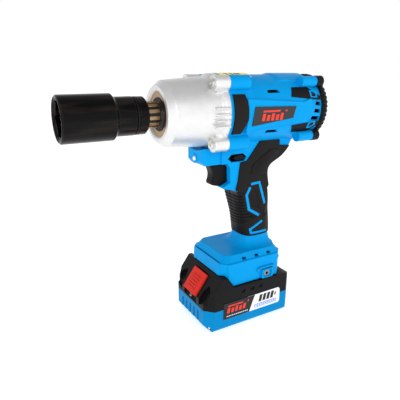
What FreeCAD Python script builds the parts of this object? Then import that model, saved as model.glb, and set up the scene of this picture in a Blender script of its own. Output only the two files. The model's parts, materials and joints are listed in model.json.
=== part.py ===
import FreeCAD, Part
import math
import os

V = FreeCAD.Vector

# ---------------------------------------------------------------------------
# Driving dimensions, in millimetres. The frame: origin at the middle of the
# battery's flat underside, -Y towards the square drive, +X to the tool's
# left, +Z up. The drive axis runs along Y at x = 0, z = AXIS_Z.
# ---------------------------------------------------------------------------
AXIS_Z = 228.0           # drive axis above the surface the tool stands on
BARREL_R = 34.8          # motor housing, outside


# battery pack
PACK_LENGTH = 113.0      # along Y
PACK_WIDTH = 75.0        # along X, set by 65 mm long cells
PACK_CORNER = 9.0        # chamfer of the four upright corners
PACK_SPLIT_Z = 26.5      # lower case meets upper case
PACK_DECK_Z = 49.0       # top of the upper case's shoulders
PACK_NOSE_Z = 61.5       # top of the raised front block
PACK_WALL = 2.4
PACK_SIDE_EDGE = 5.0     # chamfers of the underside, along the sides
PACK_END_EDGE = 9.0      # and across the ends
PACK_GROOVE_PITCH = 8.5  # upright grooves in the front end
PACK_GROOVE_HALF = 1.8
PACK_GROOVE_DEPTH = 1.3
PACK_GROOVE_TOP_Z = 21.3
PACK_GROOVE_LOW_Z = 2.5
CELL_R = 9.1
CELL_LENGTH = 65.0
CELL_PITCH = 2 * CELL_R + 0.6         # along Y
CELL_ROW = 2 * CELL_R + 0.4           # from one row up to the next
CELL_LOW_Z = PACK_WALL + CELL_R + 1.1     # axis height of the lower row
CELL_COLUMNS = 5
RAIL_NECK = 17.5         # half-width of the rail block's neck
RAIL_HEAD = 22.0         # half-width of its T head
RAIL_STEP = 4.6          # height of the neck
RAIL_TOP_Z = 60.0
RAIL_REAR_Y = 29.5       # rear end of the rail block
RAIL_GAP = 0.4           # battery rail to the foot's rail, all round
TERMINAL_X = (-12.0, 0.0, 12.0)
TERMINAL_Y = 18.0        # tips of the blades

# foot
FOOT_HALF_WIDTH = 34.5
FOOT_FRONT_Y = -36.0
FOOT_REAR_Y = 43.5
FOOT_LEDGE_Z = 75.0      # top of the side walls
FOOT_TOP_Z = 82.0        # top of the bevelled plateau
FOOT_BEVEL = 6.0
FOOT_CORNER = 9.0
FOOT_WALL = 3.0
FOOT_DECK_GAP = 0.6      # foot to the battery's shoulders
FLARE = 6.5              # swell where the handle meets the foot

# handle and chin
HANDLE_HALF_WIDTH = 17.0     # over the rubber
HANDLE_CORE_WALL = 2.6
RUBBER = 2.2                 # thickness of the overmoulded rubber
HANDLE_CORNER = 11.0
NECK_EXTRA = 1.2             # neck wider than the handle core, each side
TAIL_T = 1.4                 # rubber on the neck
CHIN_HALF_WIDTH = 14.0
CHIN_FRONT_Y = -50.0
HANDLE_LOW_Z = 86.0          # lowest and highest sections of the handle
HANDLE_TOP_Z = AXIS_Z - 62.0
RUBBER_TOP_Z = AXIS_Z - 82.0
RUBBER_LOW_Z = 93.5
CHIN_BOTTOM = -51.0          # from the axis

# motor housing
BARREL_WALL = 2.8
FLANGE_R = BARREL_R + 1.4
FLANGE_Y = -31.0         # joint face of the hammer case
BARREL_REAR_Y = 84.0
REAR_R = BARREL_R - 2.2
CHEEK_X = BARREL_R + 1.1     # flat side panels that carry the badges
PANEL_T = 0.9            # badge thickness
BUMPER_T = 1.6
SCREW_X = 0.7615 * BARREL_R  # case screws and rear screws, from the axis
SCREW_Z = 0.7989 * BARREL_R
EAR_R = 7.2
REAR_EAR_R = 5.4
CASE_BOSS_END_Y = -8.0   # bosses that take the case screws
REAR_BOSS_Y = 57.0       # bosses that take the rear screws
REAR_EAR_Y = 76.6        # where the shell's bosses meet the cap's ears
REAR_SEAT_Y = 85.2       # outer end of the cap's ears
CAP_END_Y = 92.5
INSET_DEPTH = 1.2
VENT_EDGE = 1.2          # shell left behind the rear vents
STICKER_END_Y = 4.6
STICKER_RIM = 1.2        # land round the sticker
LAMP_Z = AXIS_Z - 45.0
LAMP_BOSS_R = 4.6
LAMP_R = 2.6

# hammer case
CASE_NOSE_Y = -90.5
CASE_NOSE_R = BARREL_R - 9.2
CASE_SHOULDER_Y = -84.2
CASE_SHOULDER_R = BARREL_R - 4.2
CASE_REAR_R = BARREL_R - 1.2
CASE_EAR_Y = -46.0
CASE_BORE_R = BARREL_R - 6.2     # chamber the hammer turns in
CASE_BORE_Y = -67.0      # front end of that chamber
FINS = 4                 # small cooling fins on each side
FIN_PITCH = 5.6
FIN_TOP = 6.0            # highest fin above the axis
SPIGOT_R = BARREL_R - 3.4        # the case's tail inside the housing
SPIGOT_Y = -6.5
BUSH_FRONT_Y = -86.0
BUSH_WALL = 4.0
SEAL_R = CASE_NOSE_R - 5.1

# drive train
SHAFT_FIT = 0.05         # radial running clearance
ANVIL_R = 10.5
ANVIL_SHOULDER_Y = -103.1
DRIVE_SQUARE = 12.7      # half-inch square drive
DRIVE_LENGTH = 21.0
ANVIL_PILOT_R = 5.0
ANVIL_PILOT_DEPTH = 9.0
ANVIL_HUB_R = ANVIL_R + 1.5      # between the lugs
LUG_R = CASE_BORE_R - 4.6
LUG_FRONT_Y = -66.0
LUG_THICK = 8.0
LUG_ANGLE = 46.0
HAMMER_R = CASE_BORE_R - 1.2
HAMMER_FRONT_Y = -57.0
HAMMER_REAR_Y = -36.0
DOG_LENGTH = 7.0
DOG_GAP = 0.5            # play between a dog and a lug, degrees of turn
CAM_ANGLE = 34.0         # how far the hammer turns back while it retracts
CAM_TRAVEL = 8.2         # how far it retracts
CAM_BALL_R = 2.8
CAM_BALL_Y = -44.0
SPINDLE_R = 9.0
SPRING_R = (HAMMER_R + SPINDLE_R) / 2 - 0.8
SPRING_WIRE = 1.5
SPRING_FRONT_Y = -50.0
WASHER_T = 1.0
CARRIER_Y = -26.0        # front face of the planet carrier
CARRIER_DISC = 4.0       # its front and rear discs
CARRIER_BACK = 2.0
POST_R = 3.0             # posts between the discs
POST_EXTRA = 1.4         # posts farther out than the planets
PIN_R = 2.5
HUB_R = 10.0
HUB_REAR_Y = -2.0
BEARING_R = 15.0
MODULE = BARREL_R / 43.5
SUN_TEETH = 12
PLANET_TEETH = 21
RING_TEETH = 54
GEAR_FRONT_Y = -21.0
GEAR_WIDTH = 10.5
TOOTH_PLAY = 0.16        # thinning of each tooth at the pitch circle
PLANETS = 3

# motor
SHAFT_R = 4.0
STATOR_R = BARREL_R - 8.0
STATOR_BORE = STATOR_R - 12.3
STATOR_Y = 12.0
STATOR_LENGTH = 34.0
STATOR_TEETH = 6
ROTOR_R = STATOR_BORE - 0.6
MAGNET_T = 3.2
FAN_R = BARREL_R - 6.3
FAN_Y = 52.0
FAN_BLADES = 11
MOTOR_BEARING_R = 9.5
FRONT_BEARING_Y = 0.4
REAR_BEARING_Y = 68.0
BEARING_WIDTH = 5.0

# socket
SOCKET_FRONT_Y = -179.5
SOCKET_REAR_Y = -103.3
SOCKET_R = 20.4
SOCKET_NECK_R = 17.3
SOCKET_COLLAR_R = 17.0
SOCKET_STEP_Y = -133.0
SOCKET_HEX = 30.0        # across flats
SOCKET_HEX_DEPTH = 24.0
SQUARE_FIT = 0.12        # square drive to the socket's square, each side

# controls
TRIGGER_HALF_WIDTH = 8.8
TRIGGER_TOP_Z = AXIS_Z - 52.4
TRIGGER_LOW_Z = AXIS_Z - 74.8
TRIGGER_REAR_Y = -13.0
TRIGGER_TRAVEL = 7.0
TRIGGER_GAP = 0.5
PLUNGER_R = 2.4
PLUNGER_Z = AXIS_Z - 63.0
SWITCH_FRONT_Y = -4.0
SWITCH_REAR_Y = 17.0
SWITCH_HALF_WIDTH = 9.0
LEVER_PIN_R = 2.0
LEVER_Z = AXIS_Z - 46.0
LEVER_PIVOT_Y = 9.0
LEVER_SWING = 6.0        # degrees each way
LEVER_FRONT_Y = -14.5
LEVER_REAR_Y = -0.8
LEVER_PLAY = 1.15        # rear end of the lever at full swing to its window
LEVER_FRONT_ROOM = 4.85
BUTTON_HALF_WIDTH = 13.0
BUTTON_TRAVEL = 4.0
BUTTON_LOW_V = -12.5     # lower and upper ends of its plate, up the slope
BUTTON_HIGH_V = 13.5
BUTTON_ROOM = 2.0        # left below the plate at the end of its travel
BUTTON_SLOPE = math.atan2(21.5, 15.5)
BUTTON_FLOOR_T = 1.6     # plastic under the button's well and the finger hollows
PIT_DEPTH = 5.2          # finger hollows beside the button

# small parts
SCREW_R = 2.0
SCREW_HEAD_R = 4.0
SCREW_FIT = 0.2
CASE_SCREW_LENGTH = 30.0
REAR_SCREW_LENGTH = 23.0
PILLAR_R = 3.0           # pillars that tie the housing halves
PILOT_R = 1.2
SEAT_INSET = 2.0         # screw seat below the right half's outer face
PACK_PILLAR_R = 3.4
PACK_HEAD_R = 2.2        # heads of the battery's four screws
PACK_SEAT_Z = 7.8        # and the height of their seats
HOOK_Y = 20.0
HOOK_Z = PACK_DECK_Z + 5.6
HOOK_THREAD_R = 1.65     # tapping size of an M4 thread
HOOK_INSERT_R = 3.2
HOOK_INSERT_LENGTH = 7.0
HOOK_PROUD = 1.3          # hook boss above the foot's side

# worked out from the above
PACK_HALF_X = PACK_WIDTH / 2
PACK_HALF_Y = PACK_LENGTH / 2
CORE_HALF_WIDTH = HANDLE_HALF_WIDTH - RUBBER
SUN_PITCH_R = MODULE * SUN_TEETH / 2
PLANET_PITCH_R = MODULE * PLANET_TEETH / 2
CARRIER_ARM = SUN_PITCH_R + PLANET_PITCH_R
CARRIER_R = CARRIER_ARM + 5.2
GEAR_REAR_Y = GEAR_FRONT_Y + GEAR_WIDTH
STICKER_HALF = SCREW_X - EAR_R - 3.3
STATOR_END_Y = STATOR_Y + STATOR_LENGTH
BUSH_R = ANVIL_R + BUSH_WALL
BIG = 400.0


# ---------------------------------------------------------------------------
# Small building blocks
# ---------------------------------------------------------------------------
def box(x0, x1, y0, y1, z0, z1):
    """A block between two corners."""
    return Part.makeBox(x1 - x0, y1 - y0, z1 - z0, V(x0, y0, z0))


def rod(radius, y0, y1, x=0.0, z=AXIS_Z):
    """A round bar along Y."""
    return Part.makeCylinder(radius, y1 - y0, V(x, y0, z), V(0, 1, 0))


def rod_x(radius, x0, x1, y, z):
    """A round bar along X."""
    return Part.makeCylinder(radius, x1 - x0, V(x0, y, z), V(1, 0, 0))


def rod_z(radius, z0, z1, x, y):
    """A round bar along Z."""
    return Part.makeCylinder(radius, z1 - z0, V(x, y, z0), V(0, 0, 1))


def sleeve(outer, inner, y0, y1, x=0.0, z=AXIS_Z):
    """A tube along Y."""
    return rod(outer, y0, y1, x, z).cut(rod(inner, y0 - 1, y1 + 1, x, z))


def face_of(points):
    return Part.Face(Part.makePolygon(points + [points[0]]))


def prism_x(outline, x0, x1):
    """A (y, z) outline carried from x0 to x1."""
    return face_of([V(x0, y, z) for y, z in outline]).extrude(V(x1 - x0, 0, 0))


def prism_y(outline, y0, y1):
    """An (x, z) outline carried from y0 to y1."""
    return face_of([V(x, y0, z) for x, z in outline]).extrude(V(0, y1 - y0, 0))


def prism_z(outline, z0, z1):
    """An (x, y) outline carried from z0 to z1."""
    return face_of([V(x, y, z0) for x, y in outline]).extrude(V(0, 0, z1 - z0))


def turned(outline):
    """A (y, r) outline turned about the drive axis."""
    face = face_of([V(0, y, AXIS_Z + r) for y, r in outline])
    return face.revolve(V(0, 0, AXIS_Z), V(0, 1, 0), 360)


def spun(shape, degrees):
    """A copy turned about the drive axis."""
    copy = shape.copy()
    copy.rotate(V(0, 0, AXIS_Z), V(0, 1, 0), degrees)
    return copy


def mirrored(shape):
    """The same piece on the tool's other side."""
    return shape.mirror(V(0, 0, 0), V(1, 0, 0))


def both_sides(shape):
    return [shape, mirrored(shape)]


def joined(shapes):
    """One solid from overlapping ones."""
    result = shapes[0]
    if len(shapes) > 1:
        result = result.fuse(shapes[1:])
    return result.removeSplitter()


def chamfered_rectangle(half_x, y0, y1, corner):
    """Plan outline of a rectangle with its four corners cut off."""
    return [(half_x - corner, y0), (half_x, y0 + corner),
            (half_x, y1 - corner), (half_x - corner, y1),
            (corner - half_x, y1), (-half_x, y1 - corner),
            (-half_x, y0 + corner), (corner - half_x, y0)]


def rounded_section(z, y0, y1, half_x, corner):
    """A level wire: a rectangle with round corners."""
    r = min(corner, half_x - 0.5, (y1 - y0) / 2 - 0.5)
    k = r * (1 - math.sqrt(0.5))
    x1, x0 = half_x, -half_x
    pts = [V(x0 + r, y0, z), V(x1 - r, y0, z), V(x1, y0 + r, z),
           V(x1, y1 - r, z), V(x1 - r, y1, z), V(x0 + r, y1, z),
           V(x0, y1 - r, z), V(x0, y0 + r, z)]
    mids = [V(x1 - k, y0 + k, z), V(x1 - k, y1 - k, z),
            V(x0 + k, y1 - k, z), V(x0 + k, y0 + k, z)]
    edges = []
    for i in range(4):
        a, b, c = pts[2 * i], pts[2 * i + 1], pts[(2 * i + 2) % 8]
        edges.append(Part.LineSegment(a, b).toShape())
        edges.append(Part.Arc(b, mids[i], c).toShape())
    return Part.Wire(edges)


def screw(x, z, seat_y, length, direction, head_r=SCREW_HEAD_R, stem_r=SCREW_R):
    """A pan-head screw along Y, driven towards +Y where direction is 1."""
    top = seat_y - 2.4 * direction
    head = rod(head_r, *sorted((top, seat_y)), x, z)
    stem = rod(stem_r, *sorted((top, seat_y + length * direction)), x, z)
    deep = sorted((top - direction, top + 1.2 * direction))
    arm, blade = 0.5 * head_r, 0.13 * head_r
    recess = [box(x - arm, x + arm, *deep, z - blade, z + blade),
              box(x - blade, x + blade, *deep, z - arm, z + arm)]
    return head.fuse(stem).removeSplitter().cut(recess)


def corner_spots(dx, dz):
    return [(sx * dx, AXIS_Z + sz * dz) for sx in (1, -1) for sz in (1, -1)]


# ---------------------------------------------------------------------------
# Gears: involute teeth, thinned a little so that they run with play
# ---------------------------------------------------------------------------
def involute_angle(radius, base):
    ratio = max(radius / base, 1.0)
    t = math.sqrt(ratio * ratio - 1)
    return t - math.atan(t)


def gear_outline(teeth, tip, root, play, turn):
    """(x, z) outline of an external gear; a tooth's middle is at turn."""
    pitch = MODULE * teeth / 2
    base = pitch * math.cos(math.radians(20))
    half = (math.pi * MODULE / 2 - play) / 2 / pitch
    at_pitch = involute_angle(pitch, base)
    steps = 5
    start = max(root, base)
    flank = []
    for i in range(steps):
        r = start + (tip - start) * i / (steps - 1)
        flank.append((r, half + at_pitch - involute_angle(r, base)))
    if root < base:
        flank.insert(0, (root, flank[0][1]))
    outline = []
    for n in range(teeth):
        middle = turn + 2 * math.pi * n / teeth
        for r, a in flank:
            outline.append((r * math.cos(middle - a), r * math.sin(middle - a)))
        for r, a in reversed(flank):
            outline.append((r * math.cos(middle + a), r * math.sin(middle + a)))
    return outline


def gear_blank(teeth, tip, root, play, turn, y0, y1, x=0.0, z=0.0):
    outline = gear_outline(teeth, tip, root, play, turn)
    return prism_y([(x + u, AXIS_Z + z + w) for u, w in outline], y0, y1)


def planet_spots():
    """Carrier angle, x and z (from the axis) of each planet."""
    spots = []
    for n in range(PLANETS):
        a = math.pi / 2 + 2 * math.pi * n / PLANETS
        spots.append((a, CARRIER_ARM * math.cos(a), CARRIER_ARM * math.sin(a)))
    return spots


def make_ring_gear():
    """Internal teeth are the gaps of an oversize external gear."""
    pitch = MODULE * RING_TEETH / 2
    gap = gear_blank(RING_TEETH, pitch + 1.25 * MODULE, pitch - MODULE,
                     -TOOTH_PLAY, math.pi / 2, GEAR_FRONT_Y - 1, GEAR_REAR_Y + 1)
    blank = rod(CASE_BORE_R - SCREW_FIT, GEAR_FRONT_Y - 0.5, GEAR_REAR_Y + 0.5)
    core = rod(pitch - MODULE, GEAR_FRONT_Y - 1, GEAR_REAR_Y + 1)
    return blank.cut([gap, core])


def make_planet(angle, x, z):
    """A planet whose tooth points outward into a gap of the ring gear."""
    pitch = PLANET_PITCH_R
    gear = gear_blank(PLANET_TEETH, pitch + 0.85 * MODULE, pitch - 1.2 * MODULE,
                      TOOTH_PLAY, angle, GEAR_FRONT_Y, GEAR_REAR_Y - 0.5, x, z)
    bore = rod(PIN_R + SHAFT_FIT, GEAR_FRONT_Y - 1, GEAR_REAR_Y + 1, x, AXIS_Z + z)
    return gear.cut(bore)


def sun_gear(y0, y1):
    """Pinion on the rotor shaft; each planet turns a gap towards its tooth."""
    pitch = SUN_PITCH_R
    return gear_blank(SUN_TEETH, pitch + 0.85 * MODULE, pitch - 1.2 * MODULE,
                      TOOTH_PLAY, math.pi / 2, y0, y1)


# ---------------------------------------------------------------------------
# Drive train
# ---------------------------------------------------------------------------
def make_anvil():
    """Round shank, square drive in front, two lugs behind."""
    half = DRIVE_SQUARE / 2
    front = ANVIL_SHOULDER_Y - DRIVE_LENGTH
    square = box(-half, half, front, ANVIL_SHOULDER_Y + 1,
                 AXIS_Z - half, AXIS_Z + half)
    tip_cone = turned([(front, 0), (front, half * 1.12), (front + 3, half * 1.5),
                       (ANVIL_SHOULDER_Y + 1, half * 1.5),
                       (ANVIL_SHOULDER_Y + 1, 0)])
    square = square.common(tip_cone)
    groove_y = front + 6.0
    square = square.cut(sleeve(20, 5.2, groove_y, groove_y + 2.4))
    neck = turned([(ANVIL_SHOULDER_Y, 0), (ANVIL_SHOULDER_Y, 9.0),
                   (ANVIL_SHOULDER_Y + 1, ANVIL_R - 0.6),
                   (CASE_NOSE_Y, ANVIL_R), (LUG_FRONT_Y + 1, ANVIL_R),
                   (LUG_FRONT_Y + 1, 0)])
    rear = LUG_FRONT_Y + LUG_THICK
    hub = rod(ANVIL_HUB_R, LUG_FRONT_Y, rear)
    lug = sector(LUG_R, 0, LUG_ANGLE, LUG_FRONT_Y, rear)
    body = joined([square, neck, hub, lug, spun(lug, 180)])
    pilot = rod(ANVIL_PILOT_R + SHAFT_FIT, rear - ANVIL_PILOT_DEPTH - 0.5, rear + 1)
    return body.cut(pilot)


def sector(radius, start, sweep, y0, y1):
    """A pie slice about the drive axis, starting at +X and turning to -Z."""
    blade = face_of([V(0, y0, AXIS_Z), V(radius, y0, AXIS_Z),
                     V(radius, y1, AXIS_Z), V(0, y1, AXIS_Z)])
    wedge = blade.revolve(V(0, 0, AXIS_Z), V(0, 1, 0), sweep)
    return spun(wedge, start)


def make_friction_ring():
    """Split ring in the square's groove that holds the socket."""
    y = ANVIL_SHOULDER_Y - DRIVE_LENGTH + 6.2
    ring = sleeve(DRIVE_SQUARE / 2, 5.3, y, y + 2.0)
    return ring.cut(box(-0.6, 0.6, y - 1, y + 3, AXIS_Z, AXIS_Z + 10))


def make_hammer():
    """Steel ring with two dogs in front and a spring pocket behind."""
    body = rod(HAMMER_R, HAMMER_FRONT_Y, HAMMER_REAR_Y)
    turn = LUG_ANGLE + DOG_GAP
    dogs = []
    for half_turn in (0, 180):
        dog = sector(HAMMER_R - 0.6, turn + half_turn, LUG_ANGLE,
                     HAMMER_FRONT_Y - DOG_LENGTH, HAMMER_FRONT_Y + 0.5)
        dogs.append(dog.cut(rod(ANVIL_HUB_R + 1, HAMMER_FRONT_Y - 20, HAMMER_FRONT_Y)))
    body = joined([body] + dogs)
    bore = rod(SPINDLE_R + SHAFT_FIT, HAMMER_FRONT_Y - 20, HAMMER_REAR_Y + 1)
    pocket = sleeve(SPRING_R + 3.6, SPRING_R - 3.4, SPRING_FRONT_Y - 0.3,
                    HAMMER_REAR_Y + 1)
    body = body.cut([bore, pocket])
    for spot in (0, 180):
        body = body.cut(spun(ball_track(), spot))
    return body


def ball_track():
    """Lengthwise groove in the hammer's bore, open over the whole travel."""
    radius = CAM_BALL_R + 0.1
    x = SPINDLE_R + 0.3
    return rod(radius, CAM_BALL_Y - CAM_TRAVEL - 6, CAM_BALL_Y + radius + 1, x)


def make_cam_balls():
    x = SPINDLE_R + 0.3
    ball = Part.makeSphere(CAM_BALL_R, V(x, CAM_BALL_Y, AXIS_Z))
    return [ball, spun(ball, 180)]


def make_spindle():
    """Cam shaft and planet carrier in one piece, with its rear hub."""
    rear = CARRIER_Y + CARRIER_DISC
    back = GEAR_REAR_Y + 0.5
    parts = [rod(SPINDLE_R, HAMMER_FRONT_Y - 0.5, CARRIER_Y + 1),
             rod(ANVIL_PILOT_R, HAMMER_FRONT_Y - 1 - ANVIL_PILOT_DEPTH + 0.5,
                 HAMMER_FRONT_Y + 1),
             rod(CARRIER_R, CARRIER_Y, rear),
             rod(CARRIER_R, back, back + CARRIER_BACK),
             rod(HUB_R, back, HUB_REAR_Y)]
    post_arm = CARRIER_ARM + POST_EXTRA
    for n in range(PLANETS):
        a = math.pi / 2 + 2 * math.pi * (n + 0.5) / PLANETS
        parts.append(rod(POST_R, rear - 1, back + 1, post_arm * math.cos(a),
                         AXIS_Z + post_arm * math.sin(a)))
    body = joined(parts)
    sun_room = rod(SUN_PITCH_R + 1.4, rear, HUB_REAR_Y + 1)
    cuts = [sun_room]
    for _, x, z in planet_spots():
        cuts.append(rod(PIN_R, CARRIER_Y - 1, back + 5, x, AXIS_Z + z))
    body = body.cut(cuts)
    ring = Part.makeTorus(SPINDLE_R + 0.3, CAM_BALL_R + 0.1,
                          V(0, CAM_BALL_Y, AXIS_Z), V(0, 1, 0))
    sweep = CAM_ANGLE + 40
    window = sector(30, -20, sweep, CAM_BALL_Y - 5, CAM_BALL_Y + 5)
    groove = ring.common(window)
    return body.cut([groove, spun(groove, 180)])


def make_planet_pins():
    back = GEAR_REAR_Y + 0.5 + CARRIER_BACK
    return [rod(PIN_R, CARRIER_Y, back, x, AXIS_Z + z)
            for _, x, z in planet_spots()]


def coil_spring(radius, wire, length, turns, base, axis):
    """A helical compression spring that starts at base and runs along axis."""
    run = length - 2 * wire
    helix = Part.makeHelix(run / turns, run, radius)
    section = Part.Wire(Part.makeCircle(wire, V(radius, 0, 0), V(0, 1, 0)))
    coil = Part.Wire(helix).makePipeShell([section], True, True)
    coil.translate(V(0, 0, wire))
    turn = FreeCAD.Rotation(V(0, 0, 1), axis)
    coil.Placement = FreeCAD.Placement(base, turn).multiply(coil.Placement)
    return coil


def make_hammer_spring():
    length = CARRIER_Y - WASHER_T - SPRING_FRONT_Y
    return coil_spring(SPRING_R, SPRING_WIRE, length, 4,
                       V(0, SPRING_FRONT_Y, AXIS_Z), V(0, 1, 0))


def make_spring_washer():
    return sleeve(SPRING_R + 2.0, SPINDLE_R + 3.0, CARRIER_Y - WASHER_T, CARRIER_Y)


def make_spindle_bearing():
    return bearing(HUB_R + SHAFT_FIT, BEARING_R, -6.4, HUB_REAR_Y - 0.1)


def bearing(inner, outer, y0, y1):
    """Ball bearing: two rings with a shield between, as one sealed unit."""
    ring = sleeve(outer, inner, y0, y1)
    third = (outer - inner) / 3
    recess = sleeve(outer - third, inner + third, y0 - 1, y0 + 0.4)
    return ring.cut([recess, recess.translated(V(0, y1 - y0 + 0.6, 0))])


# ---------------------------------------------------------------------------
# Motor
# ---------------------------------------------------------------------------
def make_gear_plate():
    """Plate that closes the gear stage and holds both middle bearings."""
    plate = rod(SPIGOT_R, SPIGOT_Y, SPIGOT_Y + 3)
    hub = rod(20.0, SPIGOT_Y, FRONT_BEARING_Y + BEARING_WIDTH + 0.4)
    cuts = [rod(BEARING_R, SPIGOT_Y - 1, -1.9), rod(7.0, -3, 1),
            rod(MOTOR_BEARING_R, FRONT_BEARING_Y, FRONT_BEARING_Y + 10)]
    return joined([plate, hub]).cut(cuts)


def make_rotor_shaft():
    """Steel shaft with the sun pinion cut on its front end."""
    pinion = sun_gear(GEAR_FRONT_Y - 0.5, GEAR_REAR_Y + 1)
    shaft = rod(SHAFT_R - 0.2, GEAR_REAR_Y, REAR_BEARING_Y + BEARING_WIDTH)
    step = rod(SHAFT_R, FRONT_BEARING_Y - 0.2, REAR_BEARING_Y + BEARING_WIDTH)
    return joined([pinion, shaft, step])


def make_rotor_core():
    return sleeve(ROTOR_R - MAGNET_T, SHAFT_R, STATOR_Y, STATOR_END_Y)


def make_rotor_magnets():
    """Four curved magnets bonded round the core."""
    ring = sleeve(ROTOR_R, ROTOR_R - MAGNET_T, STATOR_Y, STATOR_END_Y)
    return [ring.common(sector(30, 90 * n, 84, STATOR_Y - 1, STATOR_END_Y + 1))
            for n in range(4)]


def make_stator_core():
    ring = sleeve(STATOR_R, STATOR_R - 4.2, STATOR_Y, STATOR_END_Y)
    parts = [ring]
    for n in range(STATOR_TEETH):
        tooth = box(-3.0, 3.0, STATOR_Y, STATOR_END_Y,
                    AXIS_Z + STATOR_BORE + 1, AXIS_Z + STATOR_R - 2)
        shoe = box(-6.0, 6.0, STATOR_Y, STATOR_END_Y,
                   AXIS_Z + STATOR_BORE - 2, AXIS_Z + STATOR_BORE + 2)
        parts += [spun(tooth, 60 * n), spun(shoe, 60 * n)]
    return joined(parts).cut(rod(STATOR_BORE, STATOR_Y - 1, STATOR_END_Y + 1))


def make_stator_windings():
    """One coil round each stator tooth."""
    low, high = AXIS_Z + STATOR_BORE + 2.4, AXIS_Z + STATOR_R - 5.2
    outer = box(-5.6, 5.6, STATOR_Y - 2.2, STATOR_END_Y + 2.2, low, high)
    hole = box(-3.2, 3.2, STATOR_Y - 0.2, STATOR_END_Y + 0.2, low - 1, high + 1)
    coil = outer.cut(hole)
    return [spun(coil, 60 * n) for n in range(STATOR_TEETH)]


def make_motor_board():
    board = sleeve(STATOR_R - 0.5, 12.0, 7.2, 8.6)
    chips = [spun(box(-2, 2, 8.6, 9.4, AXIS_Z + 13.5, AXIS_Z + 16), 120 * n)
             for n in range(3)]
    return joined([board] + chips)


def make_fan():
    """Centrifugal fan: a back plate with leaning blades."""
    parts = [rod(8.0, FAN_Y, FAN_Y + 9), rod(FAN_R - 2, FAN_Y + 7.4, FAN_Y + 9)]
    for n in range(FAN_BLADES):
        blade = box(-0.8, 0.8, FAN_Y, FAN_Y + 8, AXIS_Z + 6, AXIS_Z + FAN_R)
        blade.rotate(V(0, 0, AXIS_Z + 6), V(0, 1, 0), 22)
        parts.append(spun(blade, 360 * n / FAN_BLADES))
    fan = joined(parts).common(rod(FAN_R, FAN_Y - 1, FAN_Y + 12))
    return fan.cut(rod(SHAFT_R, FAN_Y - 1, FAN_Y + 12))


# ---------------------------------------------------------------------------
# Hammer case and what it carries
# ---------------------------------------------------------------------------
def make_hammer_case():
    """Cast aluminium case with four screw ears and cooling fins."""
    shell = turned([(CASE_NOSE_Y, 0), (CASE_NOSE_Y, CASE_NOSE_R),
                    (CASE_SHOULDER_Y, CASE_SHOULDER_R),
                    (CASE_EAR_Y - 3, CASE_REAR_R - 0.4),
                    (FLANGE_Y, CASE_REAR_R), (FLANGE_Y, 0)])
    flange = turned([(FLANGE_Y - 8, 0), (FLANGE_Y - 8, CASE_REAR_R - 0.5),
                     (FLANGE_Y - 5, FLANGE_R), (FLANGE_Y, FLANGE_R),
                     (FLANGE_Y, 0)])
    parts = [shell, flange, rod(SPIGOT_R, FLANGE_Y - 1, SPIGOT_Y)]
    for x, z in corner_spots(SCREW_X, SCREW_Z):
        parts.append(rod(EAR_R, CASE_EAR_Y, FLANGE_Y, x, z))
        web = math.degrees(math.atan2(-(z - AXIS_Z), x))
        parts.append(spun(box(20, math.hypot(x, z - AXIS_Z), CASE_EAR_Y + 3, FLANGE_Y,
                              AXIS_Z - EAR_R, AXIS_Z + EAR_R), web))
    for side in (1, -1):
        for n in range(FINS):
            z = AXIS_Z + FIN_TOP - FIN_PITCH * n
            parts.append(box(*sorted((side * (FLANGE_R - 8), side * (FLANGE_R + 0.9))),
                             CASE_EAR_Y - 1, FLANGE_Y - 1.2, z - 0.7, z + 0.7))
    body = joined(parts)
    cuts = [rod(CASE_BORE_R, CASE_BORE_Y, SPIGOT_Y + 1),
            rod(BUSH_R, BUSH_FRONT_Y, CASE_BORE_Y + 1),
            rod(SEAL_R, CASE_NOSE_Y - 1, BUSH_FRONT_Y),
            turned([(CASE_NOSE_Y - 1, SEAL_R - 1), (CASE_NOSE_Y - 1, SEAL_R + 2.4),
                    (CASE_NOSE_Y + 2, SEAL_R), (CASE_NOSE_Y + 2, SEAL_R - 1)])]
    for x, z in corner_spots(SCREW_X, SCREW_Z):
        cuts.append(rod(SCREW_R + SCREW_FIT, CASE_EAR_Y - 1, FLANGE_Y + 1, x, z))
    return body.cut(cuts)


def make_case_screws():
    return [screw(x, z, CASE_EAR_Y, CASE_SCREW_LENGTH, 1)
            for x, z in corner_spots(SCREW_X, SCREW_Z)]


def make_anvil_bush():
    return sleeve(BUSH_R, ANVIL_R + SHAFT_FIT, BUSH_FRONT_Y, CASE_BORE_Y)


def make_nose_seal():
    return sleeve(SEAL_R, ANVIL_R + 0.3, CASE_NOSE_Y + 2.2, BUSH_FRONT_Y)


# ---------------------------------------------------------------------------
# Housing: two halves that meet at x = 0
# ---------------------------------------------------------------------------
# front and back of the rubber handle: (share of its height, front y, back y)
HANDLE_STATIONS = [(0.0, 2.5, 40.3), (0.15, 1.2, 40.3), (0.3, -1.0, 40.0),
                   (0.45, -3.2, 38.2), (0.6, -5.0, 35.6), (0.75, -7.4, 32.4),
                   (0.875, -9.0, 29.6), (1.0, -10.5, 27.4)]
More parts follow.
